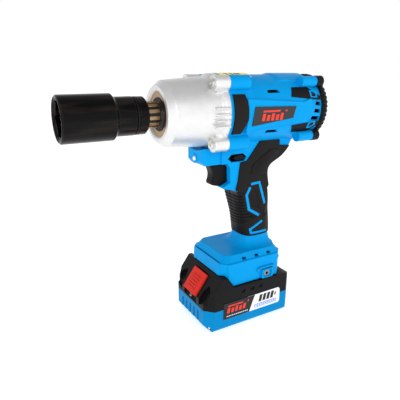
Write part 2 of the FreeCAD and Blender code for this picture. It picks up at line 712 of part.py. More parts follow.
# the neck between handle and barrel: (y, z from the axis)
NECK = [(-21.0, CHIN_BOTTOM), (-18.0, -56.0), (-17.5, -71.0), (-24.5, -74.0),
        (-25.5, -76.5), (-17.0, -78.6), (-8.0, -82.0), (31.5, -82.0),
        (27.6, -66.0), (28.2, -60.0), (33.0, -53.8), (45.5, -48.0),
        (57.0, -38.5), (61.0, -31.0), (61.0, -16.0), (-28.0, -16.0),
        (-28.0, CHIN_BOTTOM)]
FOOT_PROFILE = [(FOOT_FRONT_Y, FOOT_LEDGE_Z), (FOOT_FRONT_Y - 1.5, PACK_NOSE_Z + 0.6),
                (FOOT_FRONT_Y + 4.0, PACK_NOSE_Z + 0.6),
                (FOOT_FRONT_Y + 13.0, PACK_DECK_Z + FOOT_DECK_GAP),
                (FOOT_REAR_Y - 1.0, PACK_DECK_Z + FOOT_DECK_GAP),
                (FOOT_REAR_Y, PACK_DECK_Z + 3.0), (FOOT_REAR_Y, FOOT_LEDGE_Z)]


def below_axis(outline):
    """A (y, z) outline given from the axis, in its place."""
    return [(y, AXIS_Z + z) for y, z in outline]


def up_handle(share):
    """Height of a point on the handle, 0 at its foot and 1 at its top."""
    return HANDLE_LOW_Z + share * (HANDLE_TOP_Z - HANDLE_LOW_Z)


def handle_loft(inset):
    """The handle's body; inset takes the surface inward all round."""
    wires = []
    for share, front, back in HANDLE_STATIONS:
        wires.append(rounded_section(up_handle(share), front + inset, back - inset,
                                     HANDLE_HALF_WIDTH - inset,
                                     HANDLE_CORNER - inset))
    return Part.makeLoft(wires, True, True)


def foot_flare(inset):
    """The concave swell from the handle down to the plateau."""
    share, front, back = HANDLE_STATIONS[1]
    z0, z1 = FOOT_TOP_Z - 1, up_handle(share)
    wires = []
    for share in (0.0, 0.25, 0.5, 0.75, 1.0):
        swell = FLARE * (1 - share) ** 2 - inset
        wires.append(rounded_section(z0 + (z1 - z0) * share,
                                     front + RUBBER - swell,
                                     back - RUBBER - inset,
                                     CORE_HALF_WIDTH + swell,
                                     HANDLE_CORNER - RUBBER + swell))
    return Part.makeLoft(wires, True, True)


def foot_block(inset, lift):
    """Side walls, ledge and bevelled plateau; inset gives the hollow."""
    half = FOOT_HALF_WIDTH - inset
    walls = prism_x(FOOT_PROFILE, -half, half)
    y0, y1 = FOOT_FRONT_Y - 2.0 + inset, FOOT_REAR_Y - inset
    plan = chamfered_rectangle(half, y0, y1, FOOT_CORNER - inset / 2)
    walls = walls.common(prism_z(plan, 0, FOOT_LEDGE_Z))
    ledge = 1.6
    low = rounded_section(FOOT_LEDGE_Z - 0.1, FOOT_FRONT_Y + ledge + inset,
                          FOOT_REAR_Y - ledge - inset, half - ledge, FOOT_CORNER)
    top = rounded_section(FOOT_TOP_Z - lift, FOOT_FRONT_Y + FOOT_BEVEL + inset,
                          FOOT_REAR_Y - FOOT_BEVEL - inset, half - FOOT_BEVEL,
                          FOOT_CORNER)
    return [walls, Part.makeLoft([low, top], True, True)]


def barrel_outer():
    shell = turned([(FLANGE_Y, 0), (FLANGE_Y, FLANGE_R), (-8.0, FLANGE_R - 0.6),
                    (-3.0, BARREL_R), (68.0, BARREL_R), (BARREL_REAR_Y, REAR_R),
                    (BARREL_REAR_Y, 0)])
    ridge = turned([(30.0, 20), (30.0, BARREL_R - 0.4), (37.0, FLANGE_R),
                    (73.0, FLANGE_R - 0.2), (76.0, BARREL_R - 2), (76.0, 20)])
    ridge = ridge.common(box(-21, 21, 0, 100, AXIS_Z + 20, AXIS_Z + 60))
    land = STICKER_HALF + STICKER_RIM
    pad = rod(FLANGE_R, FLANGE_Y, STICKER_END_Y + STICKER_RIM)
    pad = pad.common(box(-land, land, -60, 10, AXIS_Z + 20, AXIS_Z + 60))
    parts = [shell, ridge, pad]
    for x, z in corner_spots(SCREW_X, SCREW_Z):
        parts.append(rod(EAR_R, FLANGE_Y, CASE_BOSS_END_Y, x, z))
        parts.append(rod(REAR_EAR_R, REAR_BOSS_Y, REAR_EAR_Y, x, z))
    cheek = [(-13.0, AXIS_Z + 13.5), (57.0, AXIS_Z + 8.5), (66.0, AXIS_Z + 11.5),
             (72.0, AXIS_Z + 2.0), (62.0, AXIS_Z - 12.0), (6.0, AXIS_Z - 14.0),
             (-14.0, AXIS_Z - 18.5), (-11.0, AXIS_Z)]
    parts.append(prism_x(cheek, -CHEEK_X, CHEEK_X))
    return parts


def chin_outer():
    """The nose of the housing under the hammer case, with the lamp's boss."""
    side = [(CHIN_FRONT_Y, -34.5), (CHIN_FRONT_Y, -47.0), (-46.5, CHIN_BOTTOM),
            (-20.0, CHIN_BOTTOM), (-20.0, -16.0), (-30.0, -16.0)]
    block = prism_x(below_axis(side), -CHIN_HALF_WIDTH, CHIN_HALF_WIDTH)
    boss = rod(LAMP_BOSS_R, CHIN_FRONT_Y - 0.8, -40.0, 0, LAMP_Z)
    return [block, boss]


def case_room():
    """Space kept clear for the hammer case and its ears."""
    tools = [rod(FLANGE_R + 0.3, CASE_NOSE_Y, FLANGE_Y)]
    for x, z in corner_spots(SCREW_X, SCREW_Z):
        tools.append(rod(EAR_R + 0.4, CASE_EAR_Y - 4, FLANGE_Y, x, z))
    return tools


def housing_outer():
    half = CORE_HALF_WIDTH + NECK_EXTRA
    neck = prism_x(below_axis(NECK), -half, half)
    parts = barrel_outer() + chin_outer() + [neck, handle_loft(RUBBER)]
    parts += foot_block(0, 0) + [foot_flare(0)]
    for side in (1, -1):
        parts.append(hook_boss(side))
    body = parts[0].fuse(parts[1:])
    return body.cut(case_room())


def hook_boss(side):
    """Raised T on the foot that takes a belt hook."""
    top, ledge, foot = HOOK_Z + 7.4, HOOK_Z + 4.0, PACK_DECK_Z + FOOT_DECK_GAP
    front, rear = HOOK_Y - 13.0, HOOK_Y + 9.0
    stem_front, stem_rear = HOOK_Y - 5.0, HOOK_Y + 5.0
    bar = [(front, top), (rear, top), (rear, ledge), (stem_rear, ledge),
           (stem_rear, foot), (stem_front, foot), (stem_front, ledge), (front, ledge)]
    x = side * FOOT_HALF_WIDTH
    return prism_x(bar, *sorted((x - side * 2.0, x + side * HOOK_PROUD)))


def housing_hollow():
    """Everything taken out of the inside of the housing."""
    wall = HANDLE_CORE_WALL
    half = CORE_HALF_WIDTH + NECK_EXTRA - wall
    tools = [rod(BARREL_R - BARREL_WALL, FLANGE_Y - 1, 66.0),
             turned([(65.0, 0), (65.0, BARREL_R - BARREL_WALL),
                     (BARREL_REAR_Y + 1, REAR_R - BARREL_WALL),
                     (BARREL_REAR_Y + 1, 0)])]
    throat = [(-14.5, -53.5), (-14.0, -73.0), (-8.0, -78.0), (28.0, -78.0),
              (24.6, -66.0), (25.4, -58.5), (31.5, -51.2), (44.0, -45.4),
              (55.0, -36.0), (55.0, -23.0), (-24.0, -23.0), (-24.0, -48.5),
              (-14.5, -48.5)]
    tools.append(prism_x(below_axis(throat), -half, half))
    chin = [(-46.5, -38.0), (-46.5, -46.0), (-45.0, -48.4), (-20.0, -48.4),
            (-20.0, -38.0)]
    chin_half = CHIN_HALF_WIDTH - wall
    tools.append(prism_x(below_axis(chin), -chin_half, chin_half))
    tools.append(handle_loft(RUBBER + wall))
    tools.append(foot_flare(wall + 0.2))
    for shape in foot_block(FOOT_WALL, 3.0):
        above_rail = box(-60, 60, -80, 80, PACK_NOSE_Z + 0.7, 100)
        tools.append(shape.common(above_rail))
    return tools


def rail_room():
    """The channel in the foot's underside that the battery's rails enter."""
    gap = RAIL_GAP
    neck_top = PACK_DECK_Z + RAIL_STEP
    front = FOOT_FRONT_Y - 10
    rear = FOOT_REAR_Y - FOOT_WALL
    return [box(-RAIL_NECK - gap, RAIL_NECK + gap, front, rear,
                PACK_DECK_Z - 2, neck_top + 1),
            box(-RAIL_HEAD - gap, RAIL_HEAD + gap, front, rear,
                neck_top - gap, PACK_NOSE_Z + 0.8)]


def trigger_room():
    half = TRIGGER_HALF_WIDTH + TRIGGER_GAP
    return box(-half, half, -40.0, -8.0, TRIGGER_LOW_Z - TRIGGER_GAP,
               TRIGGER_TOP_Z + TRIGGER_GAP)


def lever_reach():
    """Half-width over the lever's two ends."""
    return CORE_HALF_WIDTH + 1.0


def lever_window():
    """Long six-sided opening on both sides for the direction lever."""
    swing = lever_reach() * math.sin(math.radians(LEVER_SWING))
    front = LEVER_FRONT_Y - swing - LEVER_FRONT_ROOM
    rear = LEVER_REAR_Y + swing + LEVER_PLAY
    outline = [(front, LEVER_Z), (front + 4.0, LEVER_Z + 4.2),
               (rear - 4.0, LEVER_Z + 4.2), (rear, LEVER_Z),
               (rear - 3.0, LEVER_Z - 3.8), (front + 4.5, LEVER_Z - 3.8)]
    return prism_x(outline, -30, 30)


def vent_cuts():
    """Cooling slots in the sides, the rear quarters and the foot."""
    tools = []
    for side in (1, -1):
        near, far = sorted((side * 20.0, side * 45.0))
        for z in (AXIS_Z + 19.2, AXIS_Z - 19.4):
            tools.append(prism_x([(14.0, z - 1.4), (15.0, z + 1.4), (27.5, z + 1.4),
                                  (30.0, z - 1.4)], near, far))
        for k, y in enumerate((74.5, 72.8, 69.5)):
            z = AXIS_Z + 6.4 - 7.4 * k
            tools.append(prism_x([(y, z - 2.0), (y + 1.2, z + 1.7),
                                  (BARREL_REAR_Y - VENT_EDGE, z + 0.7),
                                  (BARREL_REAR_Y - VENT_EDGE, z - 3.0)], near, far))
        for y in (-8.4, 8.0, 24.0):
            tools.append(box(*sorted((side * 25, side * 40)), y - 2.4, y + 2.4,
                             FOOT_LEDGE_Z + 0.4, FOOT_LEDGE_Z + 3.2))
    return tools


def inset_outline(up):
    """Rear-quarter inset above (1) or below (-1) the axis."""
    if up > 0:
        return [(46.0, AXIS_Z + 22.4), (66.0, AXIS_Z + 22.6),
                (82.5, AXIS_Z + 12.5), (81.0, AXIS_Z + 9.5), (42.4, AXIS_Z + 13.5)]
    return [(45.7, AXIS_Z - 15.0), (82.0, AXIS_Z - 12.0), (82.0, AXIS_Z - 15.5),
            (71.5, AXIS_Z - 22.8), (49.4, AXIS_Z - 22.6)]


def side_pockets():
    """Shallow seats for the insets and the side bumpers."""
    floor = rod(BARREL_R - INSET_DEPTH, 36.0, 83.0)
    tools = []
    for side in (1, -1):
        for up in (1, -1):
            pad = prism_x(inset_outline(up), *sorted((side * 15, side * 45)))
            tools.append(pad.cut(floor))
    return tools


def bosses():
    """Screw pillars, stator ribs and bearing seat inside the housing."""
    parts = []
    for x, z in corner_spots(SCREW_X, SCREW_Z):
        parts.append(rod(EAR_R - 1.5, FLANGE_Y, CASE_BOSS_END_Y, x, z))
    for y in (16.0, 40.0):
        parts.append(sleeve(BARREL_R - 1, STATOR_R + SHAFT_FIT, y, y + 2.5))
    spigot = rod(SPIGOT_R + 0.2, FLANGE_Y - 1, SPIGOT_Y + 4)
    return [shape.cut(spigot) for shape in parts]


# screws that hold the halves: (y, z, half-width of the shell there)
HOUSING_SCREWS = [(21.0, 95.5, CORE_HALF_WIDTH),
                  (30.0, up_handle(0.4875), CORE_HALF_WIDTH),
                  (20.8, AXIS_Z - 70.0, CORE_HALF_WIDTH + NECK_EXTRA),
                  (47.0, AXIS_Z - 39.5, CORE_HALF_WIDTH + NECK_EXTRA),
                  (-35.0, AXIS_Z - 43.5, CHIN_HALF_WIDTH),
                  (34.5, FOOT_LEDGE_Z - 5.0, FOOT_HALF_WIDTH),
                  (-28.2, FOOT_LEDGE_Z - 5.0, FOOT_HALF_WIDTH)]


def housing_pillars():
    """Round pillars that tie the halves together, along X."""
    return [rod_x(PILLAR_R, 1.0 - half, half - 1.0, y, z)
            for y, z, half in HOUSING_SCREWS]


def housing_screw_wells():
    """Holes for the screws and wells for their heads on the right side."""
    tools = []
    for y, z, half in HOUSING_SCREWS:
        tools.append(rod_x(PILOT_R, -half, half - 3.0, y, z))
        tools.append(rod_x(SCREW_HEAD_R - 1.2, -half - 5, SEAT_INSET - half, y, z))
    return tools


def make_housing():
    """Left and right halves."""
    shell = housing_outer().cut(housing_hollow())
    shell = shell.fuse(bosses() + housing_pillars())
    cuts = rail_room() + [trigger_room(), lever_window()]
    cuts += vent_cuts() + side_pockets() + housing_screw_wells()
    cuts.append(rod(LAMP_R + 0.1, CHIN_FRONT_Y - 2, -44.0, 0, LAMP_Z))
    for x, z in corner_spots(SCREW_X, SCREW_Z):
        cuts.append(rod(SCREW_R, FLANGE_Y - 1, FLANGE_Y + 16, x, z))
        cuts.append(rod(SCREW_R, BARREL_REAR_Y - 25, BARREL_REAR_Y, x, z))
    hook_x = FOOT_HALF_WIDTH + HOOK_PROUD
    for side in (1, -1):
        x0, x1 = sorted((side * hook_x, side * (hook_x - HOOK_INSERT_LENGTH)))
        cuts.append(rod_x(HOOK_INSERT_R, x0 - 0.01, x1 + 0.01, HOOK_Y, HOOK_Z))
    shell = shell.cut(cuts)
    left = shell.common(box(0, BIG, -BIG, BIG, -BIG, BIG))
    right = shell.common(box(-BIG, 0, -BIG, BIG, -BIG, BIG))
    return left, right


# ---------------------------------------------------------------------------
# Rubber, trim and rear cap
# ---------------------------------------------------------------------------
# the rubber tail on the neck: (y, z from the axis)
TAIL = [(-11.0, -84.0), (-8.6, -70.5), (-6.2, -50.8), (2.0, -49.6),
        (17.5, -30.8), (43.2, -31.2), (43.8, -37.0), (55.9, -38.2),
        (45.3, -49.2), (33.8, -55.0), (28.8, -60.2), (28.4, -66.0), (32.6, -84.0)]


def make_grips(left, right):
    """Rubber moulded over each half: handle sleeve and the side tail."""
    band = box(-30, 30, -40, 60, RUBBER_LOW_Z, RUBBER_TOP_Z)
    skin = handle_loft(0).cut(handle_loft(RUBBER)).common(band)
    x0 = CORE_HALF_WIDTH + NECK_EXTRA - 1.0
    grips = []
    for side, half_shell in ((1, left), (-1, right)):
        half = skin.common(box(*sorted((0, side * 40)), -80, 80, 0, AXIS_Z))
        tail = prism_x(below_axis(TAIL), *sorted((side * x0, side * (x0 + 1.0 + TAIL_T))))
        tail = tail.cut(rod(BARREL_R + 0.2, -60, 90))
        grip = half.fuse(tail).cut([half_shell] + housing_screw_wells())
        grips.append(grip.removeSplitter())
    return grips


def make_side_bumpers():
    """Curved rubber bars behind the case flange."""
    reach = SCREW_Z - EAR_R - 1.6
    outline = [(-28.2, reach - 1.2), (-15.0, reach - 1.2), (-12.6, 6.0), (-12.6, -6.0),
               (-18.0, -reach), (-28.2, -reach)]
    bar = prism_x(below_axis(outline), 20.0, 50.0)
    skin = sleeve(FLANGE_R + BUMPER_T, FLANGE_R, -40, 0)
    bar = bar.common(skin)
    bar = bar.cut(prism_x([(-14.0, AXIS_Z + 13.5), (-11.0, AXIS_Z),
                           (-14.0, AXIS_Z - 18.5), (0, AXIS_Z - 18.5),
                           (0, AXIS_Z + 13.5)], 0, CHEEK_X + 0.01))
    return both_sides(bar)


def make_side_badges():
    """Slanted plates on the side panels."""
    outline = [(-4.6, AXIS_Z + 6.0), (46.0, AXIS_Z + 4.7), (42.5, AXIS_Z - 6.7),
               (-7.8, AXIS_Z - 12.1)]
    return both_sides(prism_x(outline, CHEEK_X, CHEEK_X + PANEL_T))


def make_quarter_insets():
    """Black plates let into the rear quarters, each with a small window."""
    plates = []
    skin = sleeve(BARREL_R + 0.5, BARREL_R - INSET_DEPTH, 36.0, 83.0)
    for up in (1, -1):
        plate = prism_x(inset_outline(up), 15, 45).common(skin)
        z = AXIS_Z + up * 16.5
        window = prism_x([(68.5, z + 2.6 * up), (72.0, z + 2.6 * up),
                          (75.0, z - 0.5 * up), (74.0, z - 2.0 * up),
                          (68.5, z - 2.0 * up)], 15, 45)
        plates += both_sides(plate.cut(window))
    return plates


def make_top_sticker():
    band = sleeve(FLANGE_R + 0.25, FLANGE_R, FLANGE_Y + 2.5, STICKER_END_Y)
    half = STICKER_HALF
    return band.common(box(-half, half, -60, 10, AXIS_Z + 20, AXIS_Z + 60))


def make_rear_cap():
    """Black end cap with the rear bearing's seat and four screw ears."""
    wall = 2.6
    dome = turned([(BARREL_REAR_Y, 0), (BARREL_REAR_Y, REAR_R + 1.0),
                   (CAP_END_Y - 5.0, REAR_R + 0.4), (CAP_END_Y - 1.5, REAR_R - 3.2),
                   (CAP_END_Y, REAR_R - 6.0), (CAP_END_Y, 0)])
    hollow = turned([(BARREL_REAR_Y - 1, 0), (BARREL_REAR_Y - 1, REAR_R - wall),
                     (CAP_END_Y - 6.0, REAR_R - wall),
                     (CAP_END_Y - wall, REAR_R - 8.0), (CAP_END_Y - wall, 0)])
    parts = [dome]
    for x, z in corner_spots(SCREW_X, SCREW_Z):
        parts.append(rod(REAR_EAR_R + 0.4, REAR_EAR_Y, REAR_SEAT_Y, x, z))
    body = joined(parts).cut(hollow)
    post = rod(MOTOR_BEARING_R + 2.5, REAR_BEARING_Y + 0.5, CAP_END_Y - 1)
    spokes = [box(-2, 2, BARREL_REAR_Y, CAP_END_Y - 1, AXIS_Z - REAR_R + 3,
                  AXIS_Z + REAR_R - 3)]
    spokes.append(spun(spokes[0], 90))
    body = joined([body, post] + spokes)
    cuts = [rod(MOTOR_BEARING_R, REAR_BEARING_Y - 1,
                REAR_BEARING_Y + BEARING_WIDTH + 0.4), rod(6.0, 60, CAP_END_Y - 4),
            rear_cone().cut(rod(MOTOR_BEARING_R + 6, 60, BARREL_REAR_Y + 1))]
    for x, z in corner_spots(SCREW_X, SCREW_Z):
        cuts.append(rod(SCREW_R + SCREW_FIT, REAR_EAR_Y - 2, CAP_END_Y, x, z))
        cuts.append(rod(SCREW_HEAD_R - 0.2, REAR_SEAT_Y - 2.4, CAP_END_Y, x, z))
    return body.cut(cuts)


def rear_cone():
    """The tapered end of the barrel."""
    return turned([(68.0, 0), (68.0, BARREL_R), (BARREL_REAR_Y, REAR_R),
                   (BARREL_REAR_Y, 0)])


def make_rear_screws():
    return [screw(x, z, REAR_SEAT_Y - 2.4, REAR_SCREW_LENGTH, -1, 3.4)
            for x, z in corner_spots(SCREW_X, SCREW_Z)]


def make_housing_screws():
    """Self-tapping screws driven from the right side, heads in their wells."""
    screws = []
    for y, z, half in HOUSING_SCREWS:
        seat = SEAT_INSET - half
        head = rod_x(SCREW_HEAD_R - 1.4, seat - 1.6, seat, y, z)
        shaft = rod_x(PILOT_R, seat - 1.0, half - 3.5, y, z)
        screws.append(head.fuse(shaft).removeSplitter())
    return screws


def make_lamp_lens():
    body = rod(LAMP_R, CHIN_FRONT_Y - 1.4, CHIN_FRONT_Y + 3, 0, LAMP_Z)
    dome = Part.makeSphere(LAMP_R, V(0, CHIN_FRONT_Y + 0.4, LAMP_Z))
    nose = rod(LAMP_R, CHIN_FRONT_Y + 0.4, CHIN_FRONT_Y + 3, 0, LAMP_Z)
    return nose.fuse(dome.common(body)).removeSplitter()


def make_lamp_board():
    return box(-5, 5, CHIN_FRONT_Y + 3.6, CHIN_FRONT_Y + 5.0, LAMP_Z - 0.9,
               LAMP_Z + 5)


# ---------------------------------------------------------------------------
# Controls and electrics
# ---------------------------------------------------------------------------
def make_trigger():
    """Finger lever with a hollowed front and a plunger behind."""
    top = TRIGGER_TOP_Z
    front = [(-36.4, top), (-34.8, top - 4.1), (-32.6, top - 10.1),
             (-32.6, top - 15.1), (-33.8, top - 19.6), (-32.8, TRIGGER_LOW_Z + 0.6),
             (-31.0, TRIGGER_LOW_Z)]
    outline = front + [(TRIGGER_REAR_Y, TRIGGER_LOW_Z),
                       (TRIGGER_REAR_Y, TRIGGER_TOP_Z)]
    half = TRIGGER_HALF_WIDTH
    body = prism_x(outline, -half, half)
    plan = [(half - 4.0, -40.0), (half, -29.5), (half, 0), (-half, 0),
            (-half, -29.5), (4.0 - half, -40.0)]
    body = body.common(prism_z(plan, TRIGGER_LOW_Z - 1, top + 1))
    plunger = rod(PLUNGER_R, TRIGGER_REAR_Y - 1, SWITCH_FRONT_Y + 2.0, 0, PLUNGER_Z)
    return body.fuse(plunger).removeSplitter()


def make_trigger_spring():
    return coil_spring(PLUNGER_R + 1.2, 0.4, SWITCH_FRONT_Y - TRIGGER_REAR_Y - 0.2, 5,
                       V(0, TRIGGER_REAR_Y + 0.1, PLUNGER_Z), V(0, 1, 0))


def make_trigger_switch():
    """Speed switch: a sealed box with a plunger hole and a pivot for the lever."""
    half = SWITCH_HALF_WIDTH
    case = box(-half, half, SWITCH_FRONT_Y, SWITCH_REAR_Y, PLUNGER_Z - 13.0,
               PLUNGER_Z + 10.5)
    pin = rod_z(LEVER_PIN_R, PLUNGER_Z + 10, LEVER_Z + 3.6, 0, LEVER_PIVOT_Y)
    hole = rod(PLUNGER_R + 0.1, SWITCH_FRONT_Y - 1,
               SWITCH_FRONT_Y + 2.0 + TRIGGER_TRAVEL + 1, 0, PLUNGER_Z)
    return case.fuse(pin).cut(hole)


def make_direction_lever():
    """Bar through both sides of the housing on a pivot above the switch."""
    front, rear = LEVER_FRONT_Y, LEVER_REAR_Y
    paddle = [(front, LEVER_Z), (front + 3.5, LEVER_Z + 2.4),
              (rear - 2.2, LEVER_Z + 2.4), (rear, LEVER_Z),
              (rear - 2.2, LEVER_Z - 2.2), (front + 3.5, LEVER_Z - 2.2)]
    reach = lever_reach()
    bar = prism_x(paddle, -reach, reach)
    arm = box(-3.5, 3.5, -5, LEVER_PIVOT_Y, LEVER_Z - 2.0, LEVER_Z + 2.0)
    eye = rod_z(5.0, LEVER_Z - 2.0, LEVER_Z + 2.0, 0, LEVER_PIVOT_Y)
    hole = rod_z(LEVER_PIN_R + SHAFT_FIT, LEVER_Z - 5, LEVER_Z + 5, 0, LEVER_PIVOT_Y)
    return joined([bar, arm, eye]).cut(hole)


def make_controller():
    """Motor controller potted in a tray above the battery's rails."""
    tray = box(-26, 26, -24, 26, PACK_NOSE_Z + 1.2, PACK_NOSE_Z + 9.0)
    fins = [box(-24, 24, y, y + 2, PACK_NOSE_Z + 5.5, PACK_NOSE_Z + 10)
            for y in range(-20, 21, 8)]
    return tray.cut(fins)


def make_terminal_block():
    """Holds the blades at the rear of the rail channel."""
    block = box(-18, 18, RAIL_REAR_Y + 0.5, FOOT_REAR_Y - FOOT_WALL - 0.2,
                PACK_DECK_Z + 6.4, PACK_NOSE_Z + 0.6)
    slots = [box(x - 0.5, x + 0.5, 29, 38, PACK_DECK_Z + 5, 58.5)
             for x in TERMINAL_X]
    return block.cut(slots)


def make_terminal_blades():
    return [box(x - 0.5, x + 0.5, TERMINAL_Y, 38.0, PACK_DECK_Z + 6.4, 58.5)
            for x in TERMINAL_X]


def make_hook_inserts():
    """Threaded brass inserts for a belt hook, one each side."""
    x1 = FOOT_HALF_WIDTH + HOOK_PROUD
    body = rod_x(HOOK_INSERT_R, x1 - HOOK_INSERT_LENGTH, x1, HOOK_Y, HOOK_Z)
    bore = rod_x(HOOK_THREAD_R, x1 - HOOK_INSERT_LENGTH - 1, x1 + 1, HOOK_Y, HOOK_Z)
    return both_sides(body.cut(bore))


# ---------------------------------------------------------------------------
# Impact socket
# ---------------------------------------------------------------------------
def make_impact_socket():
    neck_end = SOCKET_REAR_Y - 10.0
    body = turned([(SOCKET_FRONT_Y, 0), (SOCKET_FRONT_Y, SOCKET_R - 1.2),
                   (SOCKET_FRONT_Y + 1.2, SOCKET_R), (SOCKET_STEP_Y - 1.0, SOCKET_R),
                   (SOCKET_STEP_Y + 2.0, SOCKET_NECK_R), (neck_end - 2, SOCKET_NECK_R),
                   (neck_end - 1.4, SOCKET_NECK_R - 1.3),
                   (neck_end + 1.4, SOCKET_NECK_R - 1.3),
                   (neck_end + 2, SOCKET_COLLAR_R), (SOCKET_REAR_Y - 1.2, SOCKET_COLLAR_R),
                   (SOCKET_REAR_Y, SOCKET_COLLAR_R - 1.2), (SOCKET_REAR_Y, 0)])
    corner = SOCKET_HEX / math.sqrt(3)
    hexagon = [(corner * math.cos(math.pi * n / 3),
                AXIS_Z + corner * math.sin(math.pi * n / 3)) for n in range(6)]
    hex_end = SOCKET_FRONT_Y + SOCKET_HEX_DEPTH
    half = DRIVE_SQUARE / 2 + SQUARE_FIT
    square_end = ANVIL_SHOULDER_Y - DRIVE_LENGTH - 3.0
    lead = turned([(SOCKET_FRONT_Y - 1, 0), (SOCKET_FRONT_Y - 1, corner + 2.4),
                   (SOCKET_FRONT_Y + 2.4, corner - 1.0), (SOCKET_FRONT_Y + 2.4, 0)])
    cuts = [prism_y(hexagon, SOCKET_FRONT_Y - 1, hex_end), lead,
            rod(SOCKET_HEX / 2 - 0.5, hex_end - 1, square_end + 0.5),
            box(-half, half, square_end, SOCKET_REAR_Y + 1, AXIS_Z - half,
                AXIS_Z + half),
            rod_z(2.5, AXIS_Z - BIG / 10, AXIS_Z + BIG / 10, 0, neck_end)]
    return body.cut(cuts)


# ---------------------------------------------------------------------------
# Battery pack
# ---------------------------------------------------------------------------
def pack_plan(inset):
    return chamfered_rectangle(PACK_HALF_X - inset, -PACK_HALF_Y + inset,
                               PACK_HALF_Y - inset, PACK_CORNER - inset / 2)


def tray_block(inset, top):
    """The tray's outer block; inset gives the room inside it."""
    def boat(half, edge):
        side, cut = half - inset, edge - 0.6 * inset
        return [(-side, inset + cut), (cut - side, inset), (side - cut, inset),
                (side, inset + cut), (side, top), (-side, top)]
    block = prism_z(pack_plan(inset), inset, top)
    block = block.common(prism_y(boat(PACK_HALF_X, PACK_SIDE_EDGE), -BIG, BIG))
    return block.common(prism_x(boat(PACK_HALF_Y, PACK_END_EDGE), -BIG, BIG))


def make_lower_case():
    """Blue tray with a chamfered underside and open top."""
    body = tray_block(0, PACK_SPLIT_Z)
    room = tray_block(PACK_WALL, PACK_SPLIT_Z + 1)
    end, depth = -PACK_HALF_Y, PACK_GROOVE_DEPTH
    turn = PACK_END_EDGE + 0.414 * depth
    foot = PACK_END_EDGE - PACK_GROOVE_LOW_Z
    groove = [(end - 1, PACK_GROOVE_TOP_Z), (end + depth, PACK_GROOVE_TOP_Z),
              (end + depth, turn), (end + foot + 1.414 * depth, PACK_GROOVE_LOW_Z),
              (end + foot - 1.5, PACK_GROOVE_LOW_Z), (end - 1, PACK_END_EDGE - 0.5)]
    grooves = [prism_x(groove, PACK_GROOVE_PITCH * k - PACK_GROOVE_HALF,
                       PACK_GROOVE_PITCH * k + PACK_GROOVE_HALF)
               for k in range(-2, 3)]
    pillars = [rod_z(PACK_PILLAR_R, PACK_WALL, PACK_SPLIT_Z, x, y)
               for x, y in pack_screw_spots()]
    holes = [rod_z(1.5, -1, PACK_SPLIT_Z + 1, x, y) for x, y in pack_screw_spots()]
    wells = [rod_z(PACK_HEAD_R + 0.3, -1, PACK_SEAT_Z, x, y)
             for x, y in pack_screw_spots()]
    inner = tray_block(0.5, PACK_SPLIT_Z)
    pillars = [p.common(inner) for p in pillars]
    return joined([body.cut([room] + grooves)] + pillars).cut(holes + wells)


def pack_screw_spots():
    x, y = PACK_HALF_X - 6.0, PACK_HALF_Y - 6.0
    return [(sx * x, sy * y) for sx in (1, -1) for sy in (1, -1)]


UPPER_PROFILE = [(-PACK_HALF_Y, PACK_SPLIT_Z), (-PACK_HALF_Y, 36.0),
                 (16.0 - PACK_HALF_Y, 57.8), (18.5 - PACK_HALF_Y, PACK_NOSE_Z),
                 (FOOT_FRONT_Y + 2.4, PACK_NOSE_Z), (FOOT_FRONT_Y + 12.4, PACK_DECK_Z),
                 (PACK_HALF_Y - 12.5, PACK_DECK_Z), (PACK_HALF_Y - 6.5, 48.0),
                 (PACK_HALF_Y - 3.5, 44.0), (PACK_HALF_Y, 41.0),
                 (PACK_HALF_Y, PACK_SPLIT_Z)]


def button_place(shape):
    """From flat to its place on the sloping front: u across, v up the slope."""
    shape.rotate(V(0, 0, 0), V(1, 0, 0), math.degrees(BUTTON_SLOPE))
    shape.translate(V(0, 6.7 - PACK_HALF_Y, 46.2))
    return shape


